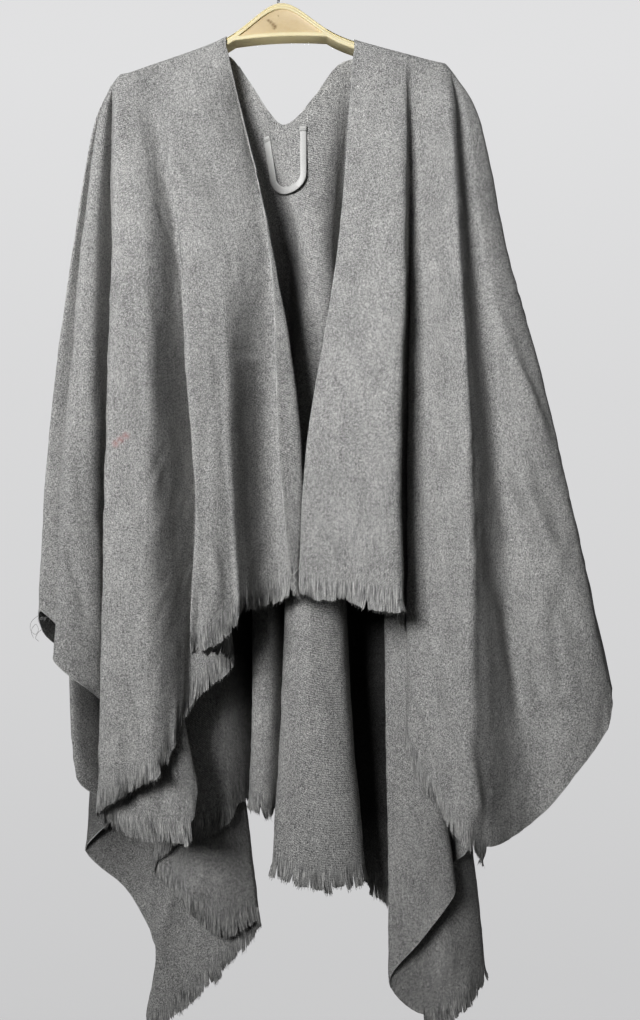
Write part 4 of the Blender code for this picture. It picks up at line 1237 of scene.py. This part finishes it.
path = tape_path()
away = np.gradient(path, axis=0)
away = np.stack([-away[:, 1], away[:, 0]], 1) / np.linalg.norm(away, axis=1)[:, None]
run = np.concatenate([[0], np.cumsum(np.linalg.norm(np.diff(path, axis=0), axis=1))])
rows = []
uvs = []
for s in np.linspace(-1, 1, 7):
    at = path + s * away * TAPE_WIDTH / 2
    rows.append([
        (x, depth_at(back, x, z) - TAPE_LIFT - TAPE_LOOSE * (TAPE_TOPS[0][1] - z) / TAPE_DROP - 0.25 * (1 - s * s), z)
        for x, z in at
    ])
    uvs.append([(s * TAPE_WIDTH / 2, r) for r in run])
rows, uvs = np.array(rows), np.array(uvs)
tape = add("tape_loop", mesh_of("tape_loop", rows.reshape(-1, 3), grid_faces(*rows.shape[:2]), uvs.reshape(-1, 2)), satin_tape())
shell = tape.modifiers.new("shell", "SOLIDIFY")
shell.thickness = TAPE_WALL * MM
shell.offset = 0.0
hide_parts("neck_tape")

# Each end of the tape is turned under, which makes it double there, and stitched across.
folds, stitches = [], []
for c in (0, -1):
    k = 1 if c == 0 else -2
    across = rows[-1, c] - rows[0, c]
    across /= np.linalg.norm(across)
    down = rows[3, k] - rows[3, c]
    down /= np.linalg.norm(down)
    out = np.array([0, -1.0, 0])
    middle = rows[3, c]
    grid = [[middle + across * s * TAPE_WIDTH / 2 * 1.04 + down * d + out * o for s in np.linspace(-1, 1, 5)]
            for d, o in ((-0.9, 0.0), (-1.1, 0.5), (-0.5, 1.0), (2.2, 1.0), (4.2, 0.9), (4.8, 0.3))]
    folds.append(np.array(grid))
    for j in range(4):
        s0 = -0.86 + 0.46 * j
        a, b = (middle + across * s * TAPE_WIDTH / 2 + down * 2.7 + out * o for s, o in ((s0, 1.0), (s0 + 0.34, 1.0)))
        stitches.append([a - out * 0.4, a + out * 0.32, (a + b) / 2 + out * 0.42, b + out * 0.32, b - out * 0.4])
pts = np.concatenate([g.reshape(-1, 3) for g in folds])
face_rows = np.concatenate([grid_faces(*folds[0].shape[:2]) + i * folds[0].shape[0] * folds[0].shape[1] for i in range(2)])
place = np.concatenate([np.stack(np.meshgrid(np.linspace(-3.7, 3.7, 5), np.arange(6.0)), -1).reshape(-1, 2)] * 2)
turned = add("tape_turned_ends", mesh_of("tape_turned_ends", pts, face_rows, place), tape.data.materials[0])
shell = turned.modifiers.new("shell", "SOLIDIFY")
shell.thickness = TAPE_WALL * MM
shell.offset = 0.0
cord("tape_stitches", stitches, 0.26, grey_thread, 5)

# ------------------------------------------------------------------ floor, light, camera
def disc(name, radius, z, rings=24, around=96):
    pts, faces = [(0, 0, z)], []
    for i in range(rings):
        r = radius * (i + 1) / rings
        pts += [(r * math.cos(a), r * math.sin(a), z) for a in np.linspace(0, 2 * math.pi, around, endpoint=False)]
    faces += [(0, 1 + j, 1 + (j + 1) % around) for j in range(around)]
    for i in range(rings - 1):
        for j in range(around):
            q = (j + 1) % around
            faces.append((1 + i * around + j, 1 + (i + 1) * around + j, 1 + (i + 1) * around + q, 1 + i * around + q))
    mesh = bpy.data.meshes.new(name)
    mesh.from_pydata(pts, [], faces)
    return mesh


stage = Nodes("pale_floor")
away = stage.new("ShaderNodeVectorMath", operation="LENGTH")
flat_place_ = stage.place((1, 1, 0))
stage.link(flat_place_, away.inputs[0])
fade = stage.math("MULTIPLY_ADD", away.outputs["Value"], -0.3, 0.5, clamp=True)
clear = stage.new("ShaderNodeBsdfTransparent")
blend = stage.new("ShaderNodeMixShader")
stage.set(Base_Color=(0.74, 0.74, 0.74, 1), Roughness=0.9)
stage.link(fade, blend.inputs[0])
stage.link(clear.outputs[0], blend.inputs[1])
stage.link(stage.shader.outputs[0], blend.inputs[2])
stage.link(blend.outputs[0], stage.tree.nodes["Material Output"].inputs["Surface"])
floor = add("floor", disc("floor", 3.2, -1.9), stage.mat, None)

world = bpy.data.worlds.new("studio")
bpy.context.scene.world = world
world.use_nodes = True
tree = world.node_tree
tree.nodes.clear()
out = tree.nodes.new("ShaderNodeOutputWorld")
seen, ambient = tree.nodes.new("ShaderNodeBackground"), tree.nodes.new("ShaderNodeBackground")
mixer, path_kind = tree.nodes.new("ShaderNodeMixShader"), tree.nodes.new("ShaderNodeLightPath")
# Painted shade: the backdrop the camera sees is painted a little darker lower down, where less light falls on the wall.
ray, split, shade = (tree.nodes.new("ShaderNode" + k) for k in ("TexCoord", "SeparateXYZ", "ValToRGB"))
tree.links.new(ray.outputs["Generated"], split.inputs[0])
height = tree.nodes.new("ShaderNodeMath")
height.operation = "MULTIPLY_ADD"
height.inputs[1].default_value, height.inputs[2].default_value = 1.0, 0.5
tree.links.new(split.outputs["Z"], height.inputs[0])
tree.links.new(height.outputs[0], shade.inputs[0])
stops = ((0.12, 0.52), (0.38, 0.57), (0.60, 0.595), (0.86, 0.64))
while len(shade.color_ramp.elements) < len(stops):
    shade.color_ramp.elements.new(0.5)
for element, (at, grey) in zip(shade.color_ramp.elements, stops):
    element.position = at
    element.color = (grey, grey, grey * 1.008, 1)
tree.links.new(shade.outputs[0], seen.inputs["Color"])
seen.inputs["Strength"].default_value = 1.0
ambient.inputs["Color"].default_value = (0.98, 0.99, 1.0, 1)
ambient.inputs["Strength"].default_value = 0.018
tree.links.new(path_kind.outputs["Is Camera Ray"], mixer.inputs[0])
tree.links.new(ambient.outputs[0], mixer.inputs[1])
tree.links.new(seen.outputs[0], mixer.inputs[2])
tree.links.new(mixer.outputs[0], out.inputs["Surface"])


def lamp(name, place, target, size, power, colour=(1, 1, 1), spread=180):
    data = bpy.data.lights.new(name, "AREA")
    data.shape = "RECTANGLE"
    data.size, data.size_y = size
    data.energy = power
    data.color = colour
    data.spread = math.radians(spread)
    obj = bpy.data.objects.new(name, data)
    obj.location = place
    obj.rotation_mode = "QUATERNION"
    obj.rotation_quaternion = (Vector(target) - Vector(place)).to_track_quat("-Z", "Y")
    bpy.context.scene.collection.objects.link(obj)
    return obj


lamp("key", (-1.12, -2.45, 0.2), (0.0, 0.0, -0.25), (1.0, 0.8), 10.7, spread=66)
lamp("front_fill", (0.2, -3.2, 1.6), (0.0, 0.0, -0.5), (1.6, 1.2), 4.2)
# Light thrown back up at the hanger's underside by the pale backdrop.
lamp("bounce", (0.005, -0.022, -0.24), (0.005, -0.004, -0.105), (0.08, 0.015), 0.009, (1.0, 0.97, 0.9), 64)
lamp("rear", (0.6, 3.2, 1.2), (0.0, 0.0, -0.6), (2.2, 1.6), 95)
lamp("side_left", (-3.2, 0.9, 0.6), (0.0, 0.0, -0.6), (1.6, 1.8), 8)
lamp("side_right", (3.2, 0.9, 0.6), (0.0, 0.0, -0.6), (1.6, 1.8), 5)

camera = bpy.data.cameras.new("camera")
camera.sensor_fit = "VERTICAL"
camera.sensor_height = 36
camera.lens = 39.7
eye = bpy.data.objects.new("camera", camera)
eye.location = (0.050, -1.35, -0.669)
eye.rotation_euler = (math.pi / 2, 0, 0)
bpy.context.scene.collection.objects.link(eye)
bpy.context.scene.camera = eye
bpy.context.scene.view_settings.view_transform = "Standard"
bpy.context.scene.view_settings.look = "Medium High Contrast"
